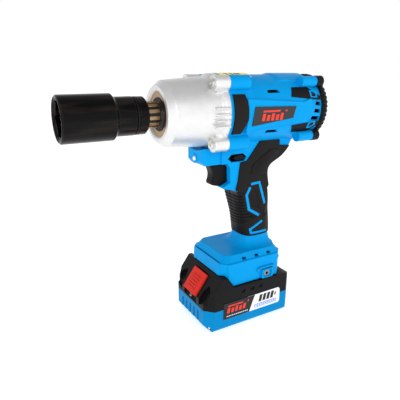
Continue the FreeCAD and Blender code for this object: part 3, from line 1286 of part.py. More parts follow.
def make_upper_case():
    """Black lid with the rails, the sloping front and the finger hollows."""
    outer = prism_x(UPPER_PROFILE, -PACK_HALF_X, PACK_HALF_X)
    outer = outer.common(prism_z(pack_plan(0), 0, 100))
    neck_z = PACK_DECK_Z + RAIL_STEP
    front, rear = FOOT_FRONT_Y + 4.0, RAIL_REAR_Y
    neck = box(-RAIL_NECK, RAIL_NECK, front, rear, PACK_DECK_Z - 2, neck_z + 1)
    head = box(-RAIL_HEAD, RAIL_HEAD, front, rear, neck_z, RAIL_TOP_Z)
    body = joined([outer, neck, head])
    wall = PACK_WALL
    inner = [(-PACK_HALF_Y + wall, PACK_SPLIT_Z - 1), (-PACK_HALF_Y + wall, 35.0),
             (8.0 - PACK_HALF_Y, 42.6), (PACK_HALF_Y - 12.5, 42.6),
             (PACK_HALF_Y - 4.5, 40.0), (PACK_HALF_Y - wall, 38.0),
             (PACK_HALF_Y - wall, PACK_SPLIT_Z - 1)]
    room = prism_x(inner, -PACK_HALF_X + wall, PACK_HALF_X - wall)
    room = room.common(prism_z(pack_plan(wall), 0, 100))
    cuts = [box(-16.5, 16.5, -20.0, rear - 3.0, 42.0, RAIL_TOP_Z - 2.4)]
    for x in TERMINAL_X:
        cuts.append(box(x - 1.2, x + 1.2, 14.0, rear + 1, 52.0, RAIL_TOP_Z + 1))
    half = BUTTON_HALF_WIDTH
    low = BUTTON_LOW_V - BUTTON_TRAVEL - BUTTON_ROOM
    well = button_place(box(-half - 0.5, half + 0.5, low, BUTTON_HIGH_V + 1.1,
                            -6.0, 6.0))
    cuts.append(well)
    floor = BUTTON_FLOOR_T
    trays = [button_place(box(-half - 0.5 - floor, half + 0.5 + floor, low - floor,
                              BUTTON_HIGH_V + 1.1 + floor, -6.0 - floor, 0.0))]
    for side in (1, -1):
        pit = [(side * 19.0, -17.5), (side * 19.0, -2.0), (side * 24.0, 6.0),
               (side * 32.0, 0.0), (side * 32.0, -12.0)]
        cuts.append(button_place(prism_z(pit, -PIT_DEPTH, 9.0)))
        around = [(side * 17.4, -19.5), (side * 17.4, -1.4), (side * 23.6, 8.2),
                  (side * 33.6, 0.8), (side * 33.6, -13.0)]
        trays.append(button_place(prism_z(around, -PIT_DEPTH - floor, 0.0)))
        for y in (-14.5, -3.0, 8.6):
            cuts.append(box(*sorted((side * (PACK_HALF_X - 1.2), side * 40)),
                            y, y + 5.0, 40.5, 44.2))
    for x, y in pack_screw_spots():
        cuts.append(rod_z(1.2, PACK_SPLIT_Z - 1, PACK_SPLIT_Z + 9, x, y))
    inner_plan = prism_z(pack_plan(0.5), 0, 100)
    pillars = [rod_z(PACK_PILLAR_R, PACK_SPLIT_Z, 43.0, x, y).common(inner_plan)
               for x, y in pack_screw_spots()]
    trays = [tray.common(outer) for tray in trays]
    return body.cut(room).fuse(pillars + trays).cut(cuts).removeSplitter()


def cell_spots():
    first = -CELL_PITCH * (CELL_COLUMNS - 1) / 2
    return [(first + CELL_PITCH * n, CELL_LOW_Z + CELL_ROW * row)
            for row in (0, 1) for n in range(CELL_COLUMNS)]


def make_cells():
    half = CELL_LENGTH / 2
    return [rod_x(CELL_R, -half, half, y, z) for y, z in cell_spots()]


def make_cell_holders():
    """Two plastic combs that space the cells."""
    room = [rod_x(CELL_R + 0.05, -BIG, BIG, y, z) for y, z in cell_spots()]
    reach = CELL_PITCH * CELL_COLUMNS / 2 - 2.8
    top = CELL_LOW_Z + CELL_ROW + CELL_R + 1.2
    comb = box(18, 24, -reach, reach, PACK_WALL + 0.4, top).cut(room)
    return both_sides(comb)


def make_cell_straps():
    """Nickel strips welded across the cell ends."""
    x = CELL_LENGTH / 2
    strips = []
    for n in range(CELL_COLUMNS):
        y = -CELL_PITCH * (CELL_COLUMNS - 1) / 2 + CELL_PITCH * n
        strips.append(box(x, x + 0.3, y - 4, y + 4, CELL_LOW_Z - 4.6,
                          CELL_LOW_Z + CELL_ROW + 4.3))
    return strips + [mirrored(s) for s in strips]


def make_pack_board():
    board = box(-15.5, 15.5, -19.0, RAIL_REAR_Y - 3.6, 43.6, 45.2)
    parts = [box(x, x + 5, y, y + 6, 45.2, 47.4) for x, y in ((-10, -14), (4, -8))]
    return joined([board] + parts)


def make_pack_contacts():
    """Spring forks on the pack's board that grip the blades."""
    forks = []
    for x in TERMINAL_X:
        outer = box(x - 1.9, x + 1.9, 16.0, 25.0, 45.2, 57.4)
        gap = box(x - 0.9, x + 0.9, 15.0, 26.0, 47.0, 60.0)
        forks.append(outer.cut(gap))
    return forks


def make_pack_labels():
    """Printed plates on the sides of the lower case and lid."""
    front, rear = 19.5 - PACK_HALF_Y, PACK_HALF_Y - 18.5
    outline = [(front, 14.6), (front, 33.0), (rear - 2.0, 33.6), (rear, 31.0),
               (rear, 16.4), (rear - 2.0, 14.8)]
    plate = prism_x(outline, PACK_HALF_X, PACK_HALF_X + 0.4)
    return both_sides(plate)


def make_pack_screws():
    screws = []
    for x, y in pack_screw_spots():
        head = rod_z(PACK_HEAD_R, PACK_SEAT_Z - 1.8, PACK_SEAT_Z, x, y)
        shaft = rod_z(1.2, PACK_SEAT_Z - 1, PACK_SPLIT_Z + 8, x, y)
        screws.append(head.fuse(shaft).removeSplitter())
    return screws


def make_release_button():
    """Red ribbed button in the sloping front; it slides down the slope."""
    half = BUTTON_HALF_WIDTH
    plate = box(-half, half, BUTTON_LOW_V, BUTTON_HIGH_V, -2.0, 1.6)
    ribs = [box(-7, 7, v, v + 1.2, 1.5, 2.4) for v in (-8, -4.6, -1.2, 2.2, 5.6)]
    stem = box(-5, 5, -9.0, -6.0, -5.8, -1.5)
    return button_place(joined([plate, stem] + ribs))


def make_release_spring():
    coil = coil_spring(1.5, 0.25, 8.4, 6, V(0, -17.6, -4.2), V(0, 1, 0))
    return button_place(coil)


# ---------------------------------------------------------------------------
# One STEP file for each sub-part
# ---------------------------------------------------------------------------
def solids_of(piece):
    shapes = piece if isinstance(piece, (list, tuple)) else [piece]
    return [solid for shape in shapes for solid in shape.Solids]


def build():
    left, right = make_housing()
    grip_left, grip_right = make_grips(left, right)
    nodes = {
        "left_housing": left,
        "right_housing": right,
        "grip_left": grip_left,
        "grip_right": grip_right,
        "side_bumpers": make_side_bumpers(),
        "side_badges": make_side_badges(),
        "quarter_insets": make_quarter_insets(),
        "top_sticker": make_top_sticker(),
        "rear_cap": make_rear_cap(),
        "rear_screws": make_rear_screws(),
        "housing_screws": make_housing_screws(),
        "hammer_case": make_hammer_case(),
        "case_screws": make_case_screws(),
        "anvil_bush": make_anvil_bush(),
        "nose_seal": make_nose_seal(),
        "ring_gear": make_ring_gear(),
        "gear_plate": make_gear_plate(),
        "spindle_bearing": make_spindle_bearing(),
        "front_motor_bearing": bearing(SHAFT_R + SHAFT_FIT, MOTOR_BEARING_R,
                                       FRONT_BEARING_Y,
                                       FRONT_BEARING_Y + BEARING_WIDTH),
        "rear_motor_bearing": bearing(SHAFT_R + SHAFT_FIT, MOTOR_BEARING_R,
                                      REAR_BEARING_Y,
                                      REAR_BEARING_Y + BEARING_WIDTH),
        "stator_core": make_stator_core(),
        "stator_windings": make_stator_windings(),
        "motor_board": make_motor_board(),
        "lamp_lens": make_lamp_lens(),
        "lamp_board": make_lamp_board(),
        "trigger_switch": make_trigger_switch(),
        "controller": make_controller(),
        "terminal_block": make_terminal_block(),
        "terminal_blades": make_terminal_blades(),
        "hook_inserts": make_hook_inserts(),
        "spindle": make_spindle(),
        "planet_pins": make_planet_pins(),
        "hammer_spring": make_hammer_spring(),
        "spring_washer": make_spring_washer(),
        "rotor_shaft": make_rotor_shaft(),
        "rotor_core": make_rotor_core(),
        "rotor_magnets": make_rotor_magnets(),
        "cooling_fan": make_fan(),
        "cam_balls": make_cam_balls(),
        "hammer": make_hammer(),
        "anvil": make_anvil(),
        "friction_ring": make_friction_ring(),
        "impact_socket": make_impact_socket(),
        "trigger": make_trigger(),
        "trigger_spring": make_trigger_spring(),
        "direction_lever": make_direction_lever(),
        "battery_lower_case": make_lower_case(),
        "battery_upper_case": make_upper_case(),
        "battery_cells": make_cells(),
        "cell_holders": make_cell_holders(),
        "cell_straps": make_cell_straps(),
        "battery_board": make_pack_board(),
        "battery_contacts": make_pack_contacts(),
        "battery_labels": make_pack_labels(),
        "battery_screws": make_pack_screws(),
        "release_button": make_release_button(),
        "release_spring": make_release_spring(),
    }
    for number, (angle, x, z) in enumerate(planet_spots(), start=1):
        nodes["planet_gear_%d" % number] = make_planet(angle, x, z)
    return nodes


def export(nodes):
    os.makedirs("parts", exist_ok=True)
    for name, piece in nodes.items():
        solids = solids_of(piece)
        shape = solids[0] if len(solids) == 1 else Part.makeCompound(solids)
        shape.exportStep(os.path.join("parts", name + ".step"))
        print("%-22s solids %2d  volume %9.1f mm3  valid %s"
              % (name, len(solids), shape.Volume, shape.isValid()))


export(build())
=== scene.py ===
# %% [markdown]
# # A cordless impact wrench
# The mechanical model is already packed: every shell, gear, spring and screw is
# a named part in one frame, in metres. The square drive points to -Y, +Z is up,
# and the battery stands on the floor at z = 0. This lesson gives those parts
# their finishes and adds what a solid modeller leaves out: the ribbed rubber of
# the handle, the inlaid strips, the printed labels and the soft studio light.

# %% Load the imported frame
import json
import math

import bmesh
import bpy
from mathutils import Matrix, Vector


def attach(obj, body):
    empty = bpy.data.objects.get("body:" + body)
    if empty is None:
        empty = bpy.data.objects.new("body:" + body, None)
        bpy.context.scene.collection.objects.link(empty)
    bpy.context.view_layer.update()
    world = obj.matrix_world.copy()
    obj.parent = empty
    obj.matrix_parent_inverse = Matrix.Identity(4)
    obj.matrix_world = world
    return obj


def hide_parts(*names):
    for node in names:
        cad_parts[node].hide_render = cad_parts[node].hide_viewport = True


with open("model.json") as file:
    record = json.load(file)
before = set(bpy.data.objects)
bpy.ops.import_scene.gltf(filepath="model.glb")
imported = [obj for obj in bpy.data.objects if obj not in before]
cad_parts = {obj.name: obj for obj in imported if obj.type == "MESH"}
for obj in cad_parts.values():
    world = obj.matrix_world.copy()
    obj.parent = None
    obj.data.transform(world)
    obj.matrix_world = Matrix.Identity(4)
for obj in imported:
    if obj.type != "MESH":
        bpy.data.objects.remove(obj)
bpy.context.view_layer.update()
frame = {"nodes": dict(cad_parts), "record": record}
nodes = frame["nodes"]
MM = 0.001

# %% [markdown]
# ## Shader maths as Python
# A material is a web of nodes, and wiring sums by hand is slow to write and
# slower to read. A small class that holds one output socket and knows what
# + - and * mean lets a pattern be written as the formula that it is. Each
# operator adds one Math node behind the scenes.

# %% A socket that can be used in sums
class Value:
    def __init__(self, look, socket):
        self.look, self.socket = look, socket

    def maths(self, operation, *values):
        inputs = dict(enumerate(values))
        return self.look.node("ShaderNodeMath", {"operation": operation}, inputs)

    def __add__(self, other):
        return self.maths("ADD", self, other)

    def __sub__(self, other):
        return self.maths("SUBTRACT", self, other)

    def __rsub__(self, other):
        return self.maths("SUBTRACT", other, self)

    def __mul__(self, other):
        return self.maths("MULTIPLY", self, other)

    __radd__, __rmul__ = __add__, __mul__

    def clamped(self):
        return self.maths("MAXIMUM", self.maths("MINIMUM", self, 1.0), 0.0)

    def wave(self):
        return self.maths("SINE", self)


# %% [markdown]
# ## One way to make any material
# Each finish starts from the Principled shader. What is the same all over is
# set straight on the shader. What changes over the surface, such as moulded
# grain or a worn edge, is made by nodes and feeds colour, roughness or the
# normal. A Bevel node gives every hard edge of the solids the small round edge
# that a mould or a cutter really leaves.

# %% The material builder
class Look:
    def __init__(self, name, colour, roughness, **constants):
        self.material = bpy.data.materials.new(name)
        self.material.use_nodes = True
        self.tree = self.material.node_tree
        self.shader = self.tree.nodes["Principled BSDF"]
        self.colour = (*colour, 1.0)
        self.shader.inputs["Base Color"].default_value = self.colour
        self.shader.inputs["Roughness"].default_value = roughness
        self.roughness = roughness
        for socket, value in constants.items():
            self.shader.inputs[socket.replace("_", " ")].default_value = value

    def node(self, kind, settings=None, inputs=None, out=0):
        made = self.tree.nodes.new(kind)
        for name, value in (settings or {}).items():
            if name == "stops":
                ramp = made.color_ramp
                for place, shade in value[2:]:
                    ramp.elements.new(place)
                for element, (place, shade) in zip(ramp.elements, sorted(value)):
                    element.position, element.color = place, (*shade, 1.0)
            else:
                setattr(made, name, value)
        for name, value in (inputs or {}).items():
            if isinstance(value, Value):
                self.tree.links.new(value.socket, made.inputs[name])
            else:
                made.inputs[name].default_value = value
        return Value(self, made.outputs[out])

    def place(self):
        """Position on the object, in metres."""
        return self.node("ShaderNodeTexCoord", out="Object")

    def axis(self, letter):
        return self.node("ShaderNodeSeparateXYZ", inputs={0: self.place()}, out=letter)

    def noise(self, size_mm, detail=2.0, stretch=(1, 1, 1)):
        """Soft cloudy noise, 0 to 1, whose lumps are about size_mm across."""
        scaled = self.node("ShaderNodeVectorMath", {"operation": "MULTIPLY"},
                           {0: self.place(), 1: stretch})
        return self.node("ShaderNodeTexNoise", inputs={
            "Vector": scaled, "Scale": 1.0 / (size_mm * MM), "Detail": detail})

    def pebbles(self, size_mm):
        """The rounded cells of a spark-eroded mould, 0 to 1."""
        return self.node("ShaderNodeTexVoronoi", {"feature": "SMOOTH_F1"}, {
            "Vector": self.place(), "Scale": 1.0 / (size_mm * MM)})

    def tint(self, mask, first, second):
        """first where mask is 0, second where it is 1."""
        ends = [c if isinstance(c, Value) else (*c, 1.0) for c in (first, second)]
        return self.node("ShaderNodeMix", {"data_type": "RGBA"},
                         {0: mask, 6: ends[0], 7: ends[1]}, out=2)

    def rounded(self, radius_mm):
        return self.node("ShaderNodeBevel", {"samples": 6}, {"Radius": radius_mm * MM})

    def edges(self, radius_mm):
        """0 on flat ground, rising towards 1 on a convex or concave edge."""
        flat = self.node("ShaderNodeNewGeometry", out="Normal")
        same = self.node("ShaderNodeVectorMath", {"operation": "DOT_PRODUCT"},
                         {0: self.rounded(radius_mm), 1: flat}, out="Value")
        return ((1.0 - same) * 6.0).clamped()

    def relief(self, height, depth_mm, edge_mm):
        """Bump by height over the rounded edges."""
        bump = self.node("ShaderNodeBump", inputs={
            "Height": height, "Distance": depth_mm * MM, "Strength": 1.0,
            "Normal": self.rounded(edge_mm)})
        self.drive("Normal", bump)

    def drive(self, socket, value):
        self.tree.links.new(value.socket, self.shader.inputs[socket])


# %% [markdown]
# ## Moulded plastics and rubber
# The shell is glass-filled nylon, moulded in a tool with a fine eroded grain:
# satin, with a slightly softer gloss where fingers polish it. The same recipe
# with other numbers makes the black lid of the battery, the red button and the
# soft overmoulded rubber, whose grain is coarser and whose gloss is far lower.
# Below 40 mm, on the battery's tray, the blue is painted darker as shade near the floor.

# %% Plastics
FLOOR_SHADE_TOP = 40 * MM


def moulded(name, colour, roughness, grain_mm, depth_mm, edge_mm, change, low=1.0,
            **constants):
    look = Look(name, colour, roughness, **constants)
    clouds = look.noise(14.0, 3.0)
    grain = look.pebbles(grain_mm)
    darker = tuple(c * (1 - change) for c in colour)
    lighter = tuple(min(1.0, c * (1 + change)) for c in colour)
    body = look.tint(clouds, darker, lighter)
    # Painted shade: below 40 mm the colour is darkened by the factor low, 0.72 for the
    # blue.
    floor_shade = ((FLOOR_SHADE_TOP - look.axis("Z")) * 500.0).clamped()
    body = look.tint(floor_shade, body, tuple(c * low for c in colour))
    worn = look.edges(edge_mm * 0.6) * look.noise(3.0)
    rubbed = tuple(c * 0.9 + 0.03 for c in colour)
    look.drive("Base Color", look.tint(worn * 0.35, body, rubbed))
    look.drive("Roughness", roughness + (clouds - 0.5) * 0.16 + (grain - 0.5) * 0.10)
    look.relief(grain + look.noise(grain_mm * 2.5) * 0.6, depth_mm, edge_mm)
    return look.material


BLUE = (0.0, 0.315, 0.735)
looks = {
    "blue_plastic": moulded("blue_plastic", BLUE, 0.36, 0.45, 0.012, 1.3, 0.05, 0.72,
                            Specular_IOR_Level=0.05),
    "black_plastic": moulded("black_plastic", (0.006, 0.006, 0.0065), 0.38, 0.5,
                             0.016, 0.9, 0.12, Specular_IOR_Level=0.10),
    "black_rubber": moulded("black_rubber", (0.0065, 0.0055, 0.0050), 0.42, 0.6,
                            0.018, 0.9, 0.15, Specular_IOR_Level=0.14),
    "red_plastic": moulded("red_plastic", (0.70, 0.026, 0.014), 0.32, 0.4, 0.010,
                           0.8, 0.05, Specular_IOR_Level=0.12),
}
print("moulded finishes:", ", ".join(looks))

# %% [markdown]
# ## Cast and cut metal
# The hammer case is an aluminium casting, bead blasted to a bright, slightly
# rough silver. Its edges are polished by handling. Ground shafts carry fine
# rings round their axis, zinc screws are smooth with a faint yellow, and the
# impact socket is steel, blackened and oiled, so it is nearly a dark mirror.

# %% Metals
def metal(name, colour, roughness, grain_mm, depth_mm, edge_mm, polish, metallic=1.0):
    look = Look(name, colour, roughness, Metallic=metallic)
    clouds = look.noise(9.0, 4.0)
    grain = look.noise(grain_mm, 3.0)
    dull = tuple(c * 0.86 for c in colour)
    bright = tuple(min(1.0, c * 1.12) for c in colour)
    edge = look.edges(edge_mm * 0.7)
    look.drive("Base Color", look.tint(edge * 0.6, look.tint(clouds, dull, colour),
                                       bright))
    look.drive("Roughness", (roughness + (clouds - 0.5) * 0.18) * (1.0 - edge * polish))
    look.relief(grain, depth_mm, edge_mm)
    return look.material


def ringed(name, colour, roughness, pitch_mm, **constants):
    """Turned or ground round the drive axis: fine rings that change with y."""
    look = Look(name, colour, roughness, Metallic=1.0, **constants)
    streaks = look.noise(pitch_mm, 2.0, (0.02, 1.0, 0.02))
    look.drive("Base Color", look.tint(streaks, tuple(c * 0.8 for c in colour), colour))
    look.drive("Roughness", roughness + (streaks - 0.5) * 0.2)
    look.relief(streaks, 0.006, 0.4)
    return look.material


looks["cast_aluminium"] = metal("cast_aluminium", (0.80, 0.80, 0.795), 0.36, 0.35,
                                0.02, 1.6, 0.35, 0.6)
looks["zinc_screw"] = metal("zinc_screw", (0.78, 0.77, 0.73), 0.24, 0.3, 0.004, 0.35,
                            0.2)
looks["bronze"] = metal("bronze", (0.40, 0.27, 0.15), 0.36, 0.25, 0.01, 0.4, 0.2)
looks["bright_steel"] = ringed("bright_steel", (0.62, 0.60, 0.57), 0.22, 0.25)
looks["magnet"] = ringed("magnet", (0.42, 0.42, 0.43), 0.3, 1.5)
looks["lamination"] = ringed("lamination", (0.36, 0.36, 0.38), 0.42, 0.5)
print("metal finishes done")

# %% [markdown]
# The black oxide on the socket is thin. Under oil it shines, and the lathe's fine rings
# still show.
# The brown streaks along it are a painted highlight: a broad sheen painted into
# the colour. The same streaks also vary the roughness.

# %% Black oxide
def black_oxide():
    look = Look("steel_black", (0.012, 0.011, 0.011), 0.2, Metallic=0.0,
                Specular_IOR_Level=0.12)
    rings = look.noise(0.5, 2.0, (0.03, 1.0, 0.03))
    sheen_streaks = look.noise(9.0, 4.0, (1.0, 0.12, 1.0))
    edge = look.edges(0.7)
    # Painted highlight: brown streaks along the axis stand in for a broad sheen on the
    # socket.
    painted_sheen = ((sheen_streaks - 0.5) * 5.0).clamped()
    body = look.tint(painted_sheen, (0.0012, 0.0012, 0.0014), (0.016, 0.0105, 0.008))
    look.drive("Base Color", look.tint(edge * 0.5, body, (0.055, 0.05, 0.045)))
    look.drive("Roughness", 0.07 + sheen_streaks * 0.16 + (rings - 0.5) * 0.06)
    look.relief(rings + look.noise(1.2) * 0.5, 0.005, 0.8)
    return look.material


looks["steel_black"] = black_oxide()

# %% [markdown]
# ## Electrical finishes
# These sit inside and show when the battery is off or through the vents: turns
# of enamelled wire, a printed circuit board with its tracks, the shrink film on
# the cells and a clear lamp lens.

# %% Wire, boards, cells and lens
def wound():
    look = Look("copper", (0.80, 0.35, 0.16), 0.28, Metallic=1.0)
    turns = (look.axis("Z") * (2 * math.pi / (0.7 * MM))).wave() * 0.5 + 0.5
    # Painted shade and highlight: each turn is dark where it dips between the wires and
    # lighter on its crown.
    look.drive("Base Color", look.tint(turns, (0.45, 0.16, 0.06), (0.86, 0.42, 0.20)))
    look.drive("Roughness", 0.42 - turns * 0.18)
    look.relief(turns, 0.1, 0.3)
    return look.material


def circuit():
    look = Look("board_green", (0.02, 0.16, 0.06), 0.3, Coat_Weight=0.4)
    tracks = look.node("ShaderNodeTexBrick", {"offset": 0.37}, {
        "Vector": look.place(), "Scale": 260.0, "Mortar Size": 0.03}, out=1)
    look.drive("Base Color", look.tint(tracks, (0.015, 0.12, 0.045), (0.05, 0.30, 0.12)))
    look.drive("Roughness", 0.25 + look.noise(2.0) * 0.2)
    look.relief(tracks, 0.02, 0.2)
    return look.material


def shrink_film():
    look = Look("cell_wrap", (0.05, 0.30, 0.26), 0.25, Coat_Weight=0.3)
    creases = look.noise(2.4, 3.0, (0.25, 1, 1))
    look.drive("Base Color", look.tint(creases, (0.03, 0.24, 0.21), (0.08, 0.38, 0.33)))
    look.drive("Roughness", 0.2 + creases * 0.2)
    look.relief(creases, 0.05, 0.4)
    return look.material


def clear_lens():
    # Painted glow: the lens gives off a faint light of its own, though its lamp is not lit.
    look = Look("lens", (0.86, 0.90, 0.93), 0.08, Coat_Weight=1.0, IOR=1.5,
                Emission_Color=(0.75, 0.85, 1.0, 1.0), Emission_Strength=0.05)
    rings = look.noise(1.1, 1.0)
    look.drive("Base Color", look.tint(rings, (0.60, 0.66, 0.70), (0.92, 0.95, 0.97)))
    look.drive("Roughness", 0.05 + rings * 0.1)
    look.relief(rings, 0.02, 0.4)
    return look.material


looks.update(copper=wound(), board_green=circuit(), cell_wrap=shrink_film(),
             lens=clear_lens())
print("electrical finishes done")

# %% [markdown]
# ## Printed films
# Labels are polyester film: a very even colour, a faint orange-peel gloss and
# no grain. Each printed colour is one film material, and the printed shapes
# are cut as thin pieces later, so they stay sharp from any distance.

# %% Films
def film(name, colour, roughness=0.28):
    look = Look(name, colour, roughness, Specular_IOR_Level=0.25)
    peel = look.noise(2.2, 2.0)
    darker = tuple(c * 0.94 for c in colour)
    look.drive("Base Color", look.tint(peel, darker, colour))
    look.drive("Roughness", roughness + (peel - 0.5) * 0.12)
    look.relief(peel, 0.008, 0.25)
    return look.material


looks["badge_film"] = film("badge_film", (0.030, 0.030, 0.034), 0.4)
looks["yellow_film"] = film("yellow_film", (0.96, 0.84, 0.0))
looks["label_film"] = film("label_film", (0.86, 0.87, 0.88))
print_red = film("print_red", (0.78, 0.045, 0.025))
print_black = film("print_black", (0.014, 0.014, 0.015), 0.35)
print_blue = film("print_blue", (0.03, 0.22, 0.80))
print_white = film("print_white", (0.84, 0.85, 0.86))
print("finishes in all:", len(bpy.data.materials))

# %% [markdown]
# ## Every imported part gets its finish
# The record says which finish each part takes, so the list is read from there
# and not typed again.

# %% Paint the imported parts
for row in frame["record"]["subparts"]:
    slots = nodes[row["node"]].data.materials
    slots.clear()
    slots.append(looks[row["material_slot"]])

# %% [markdown]
# ## Tools for making meshes
# The soft shapes are made point by point. A grid of points that follows the
# surface can be pushed in for every rib and groove, so the detail is real
# geometry and shows in the outline too. Points between the few that are given
# here are filled in by a Catmull-Rom curve, which passes through all of them.

# %% Curves through points
def through(points, x):
    """Smooth height at x of a line through (x, height) points."""
    rows = sorted(points)
    if x <= rows[0][0]:
        return rows[0][1]
    if x >= rows[-1][0]:
        return rows[-1][1]
    k = max(i for i in range(len(rows) - 1) if rows[i][0] <= x)
    (x1, y1), (x2, y2) = rows[k], rows[k + 1]
    x0, y0 = rows[max(k - 1, 0)]
    x3, y3 = rows[min(k + 2, len(rows) - 1)]
    t = (x - x1) / (x2 - x1)
    m1 = (y2 - y0) / max(x2 - x0, 1e-9) * (x2 - x1)
    m2 = (y3 - y1) / max(x3 - x1, 1e-9) * (x2 - x1)
    return ((2 * t**3 - 3 * t**2 + 1) * y1 + (t**3 - 2 * t**2 + t) * m1
            + (3 * t**2 - 2 * t**3) * y2 + (t**3 - t**2) * m2)


def smooth_line(points, steps=6, closed=False):
    """More points on a Catmull-Rom curve through the given ones."""
    n = len(points)
    line = []
    for k in range(n if closed else n - 1):
        if closed:
            p = [Vector(points[(k + j) % n]) for j in (-1, 0, 1, 2)]
        else:
            p = [Vector(points[min(max(k + j, 0), n - 1)]) for j in (-1, 0, 1, 2)]
        for step in range(steps):
            t = step / steps
            line.append(0.5 * (2 * p[1] + (p[2] - p[0]) * t
                               + (2 * p[0] - 5 * p[1] + 4 * p[2] - p[3]) * t**2
                               + (3 * p[1] - p[0] - 3 * p[2] + p[3]) * t**3))
    if not closed:
        line.append(Vector(points[-1]))
    return line


def gap_to(line, y, z):
    """Distance from (y, z) to a line of (y, z) points."""
    best = 1e9
    for (y0, z0), (y1, z1) in zip(line, line[1:]):
        dy, dz = y1 - y0, z1 - z0
        t = ((y - y0) * dy + (z - z0) * dz) / (dy * dy + dz * dz)
        t = min(max(t, 0.0), 1.0)
        best = min(best, math.hypot(y - y0 - t * dy, z - z0 - t * dz))
    return best


def inside(outline, y, z):
    """True if (y, z) is inside a closed outline."""
    odd = False
    for (y0, z0), (y1, z1) in zip(outline, outline[1:] + outline[:1]):
        if (z0 > z) != (z1 > z) and y < (y1 - y0) * (z - z0) / (z1 - z0) + y0:
            odd = not odd
    return odd


def groove(distance, width):
    """1 in the middle of a groove, fading to 0 at half its width."""
    t = min(distance / (width / 2), 1.0)
    return 1 - t * t * (3 - 2 * t)


# %% Objects from meshes
def piece(name, mesh, looks_used, body, replaces=(), smooth=40):
    """Makes an object of a bmesh in millimetres and sets it riding on a body."""
    bmesh.ops.scale(mesh, vec=(MM, MM, MM), verts=mesh.verts)
    bmesh.ops.recalc_face_normals(mesh, faces=mesh.faces)
    data = bpy.data.meshes.new(name)
    mesh.to_mesh(data)
    mesh.free()
    made = bpy.data.objects.new(name, data)
    bpy.context.scene.collection.objects.link(made)
    for look in looks_used:
        data.materials.append(look)
    if smooth:
        data.shade_smooth()
        data.set_sharp_from_angle(angle=math.radians(smooth))
    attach(made, body)
    if replaces:
        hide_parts(*replaces)
    print("made", name, "with", len(data.polygons), "faces")
    return made


def modified(made, kind, **settings):
    """Adds a modifier and writes its result into the mesh."""
    modifier = made.modifiers.new(kind.lower(), kind)
    for name, value in settings.items():
        setattr(modifier, name, value)
    bpy.context.view_layer.update()
    depsgraph = bpy.context.evaluated_depsgraph_get()
    data = bpy.data.meshes.new_from_object(made.evaluated_get(depsgraph))
    made.modifiers.clear()
    made.data = data
    return made


def slab(mesh, low, high):
    """A closed plate between two outlines with as many points."""
    rings = [[mesh.verts.new(p) for p in outline] for outline in (low, high)]
    mesh.faces.new(rings[0])
    mesh.faces.new(rings[1][::-1])
    for k in range(len(low)):
        j = (k + 1) % len(low)
        mesh.faces.new((rings[0][j], rings[0][k], rings[1][k], rings[1][j]))
    return mesh


def prism(outline, x0, x1, mesh=None):
    """A (y, z) outline carried from x0 to x1, added to a bmesh."""
    ends = [[(x, y, z) for y, z in outline] for x in (x0, x1)]
    return slab(mesh or bmesh.new(), *ends)


def grid_mesh(rows, closed=False, mesh=None, ends=False, ring=False):
    """Joins rows of points into quads.

    closed joins the ends of each row, ends fills the first and the last row,
    and ring joins the last row to the first.
    """
    mesh = mesh or bmesh.new()
    made = [[mesh.verts.new(p) for p in row] for row in rows]
    for low, high in zip(made, made[1:] + (made[:1] if ring else [])):
        count = len(low)
        for k in range(count if closed else count - 1):
            j = (k + 1) % count
            mesh.faces.new((low[k], low[j], high[j], high[k]))
    if ends:
        mesh.faces.new(made[0][::-1])
        mesh.faces.new(made[-1])
    return mesh


# %% Places about the drive axis
AXIS = 228.0
SIDES = ((1, "left"), (-1, "right"))


def around_axis(radius, angle, y):
    """Point at an angle from straight up, towards +X."""
    return (radius * math.sin(angle), y, AXIS + radius * math.cos(angle))


def turned(profile, closed=False, around=96):
    """A (y, radius) profile turned about the drive axis."""
    rows = [[around_axis(radius, 2 * math.pi * k / around, y) for y, radius in profile]
            for k in range(around)]
    return grid_mesh(rows, closed=closed, ring=True)


def bar_at(mesh, angle, inner, outer, half, y0, y1):
    """A block lying along a radius."""
    along = Vector((math.sin(angle), 0, math.cos(angle)))
    across = Vector((math.cos(angle), 0, -math.sin(angle)))
    corners = ((inner, -half), (outer, -half), (outer, half), (inner, half))
    slab(mesh, *[[along * r + across * w + Vector((0, y, AXIS)) for r, w in corners]
                 for y in (y0, y1)])


# %% [markdown]
# ## The rubber handle
# Soft rubber is moulded over the nylon. On this handle it has fine cross ribs
# at the front for the fingers, a small ribbed window in the side, and blue
# strips laid into it. One grid of points wraps half the handle. Its section is
# a squared oval, and a function gives how deep the rubber is pressed in at any
# place, from the distance to the lines and outlines below (y, z in mm).

# %% Handle outlines
SIDE = [(93, 17.0), (125, 17.0), (147, 17.45)]
SQUARENESS = [(93, 3.3), (122, 3.3), (147, 7.5)]
FRONT = [(93, 1.8), (98, 1.2), (110, -1.0), (122, -3.2), (134, -5.2), (142, -6.9),
         (146, -8.8), (149, -11.6)]
BACK = [(93, 40.3), (98, 40.3), (110, 40.0), (122, 38.2), (134, 35.6), (146, 32.6),
        (149, 32.0)]
STRIP_UPPER = [(7.6, 152.6), (18.4, 153.4), (27.4, 128.4)]
STRIP_MIDDLE = [(6.8, 149.4), (2.6, 141.0), (6.9, 124.4), (20.0, 116.2)]
STRIP_LOWER = [(25.0, 108.8), (9.6, 101.0), (11.0, 96.4), (31.6, 96.4)]
RIB_FIELD = [(-20, 142.5), (-0.5, 142.5), (-0.9, 140.6), (3.4, 124.0), (15.8, 116.4),
             (3.5, 110.5), (-20, 101.0)]
WINDOW = [(8.2, 148.6), (15.2, 148.6), (21.6, 131.0), (20.0, 122.6), (9.6, 127.6),
          (5.6, 140.6)]
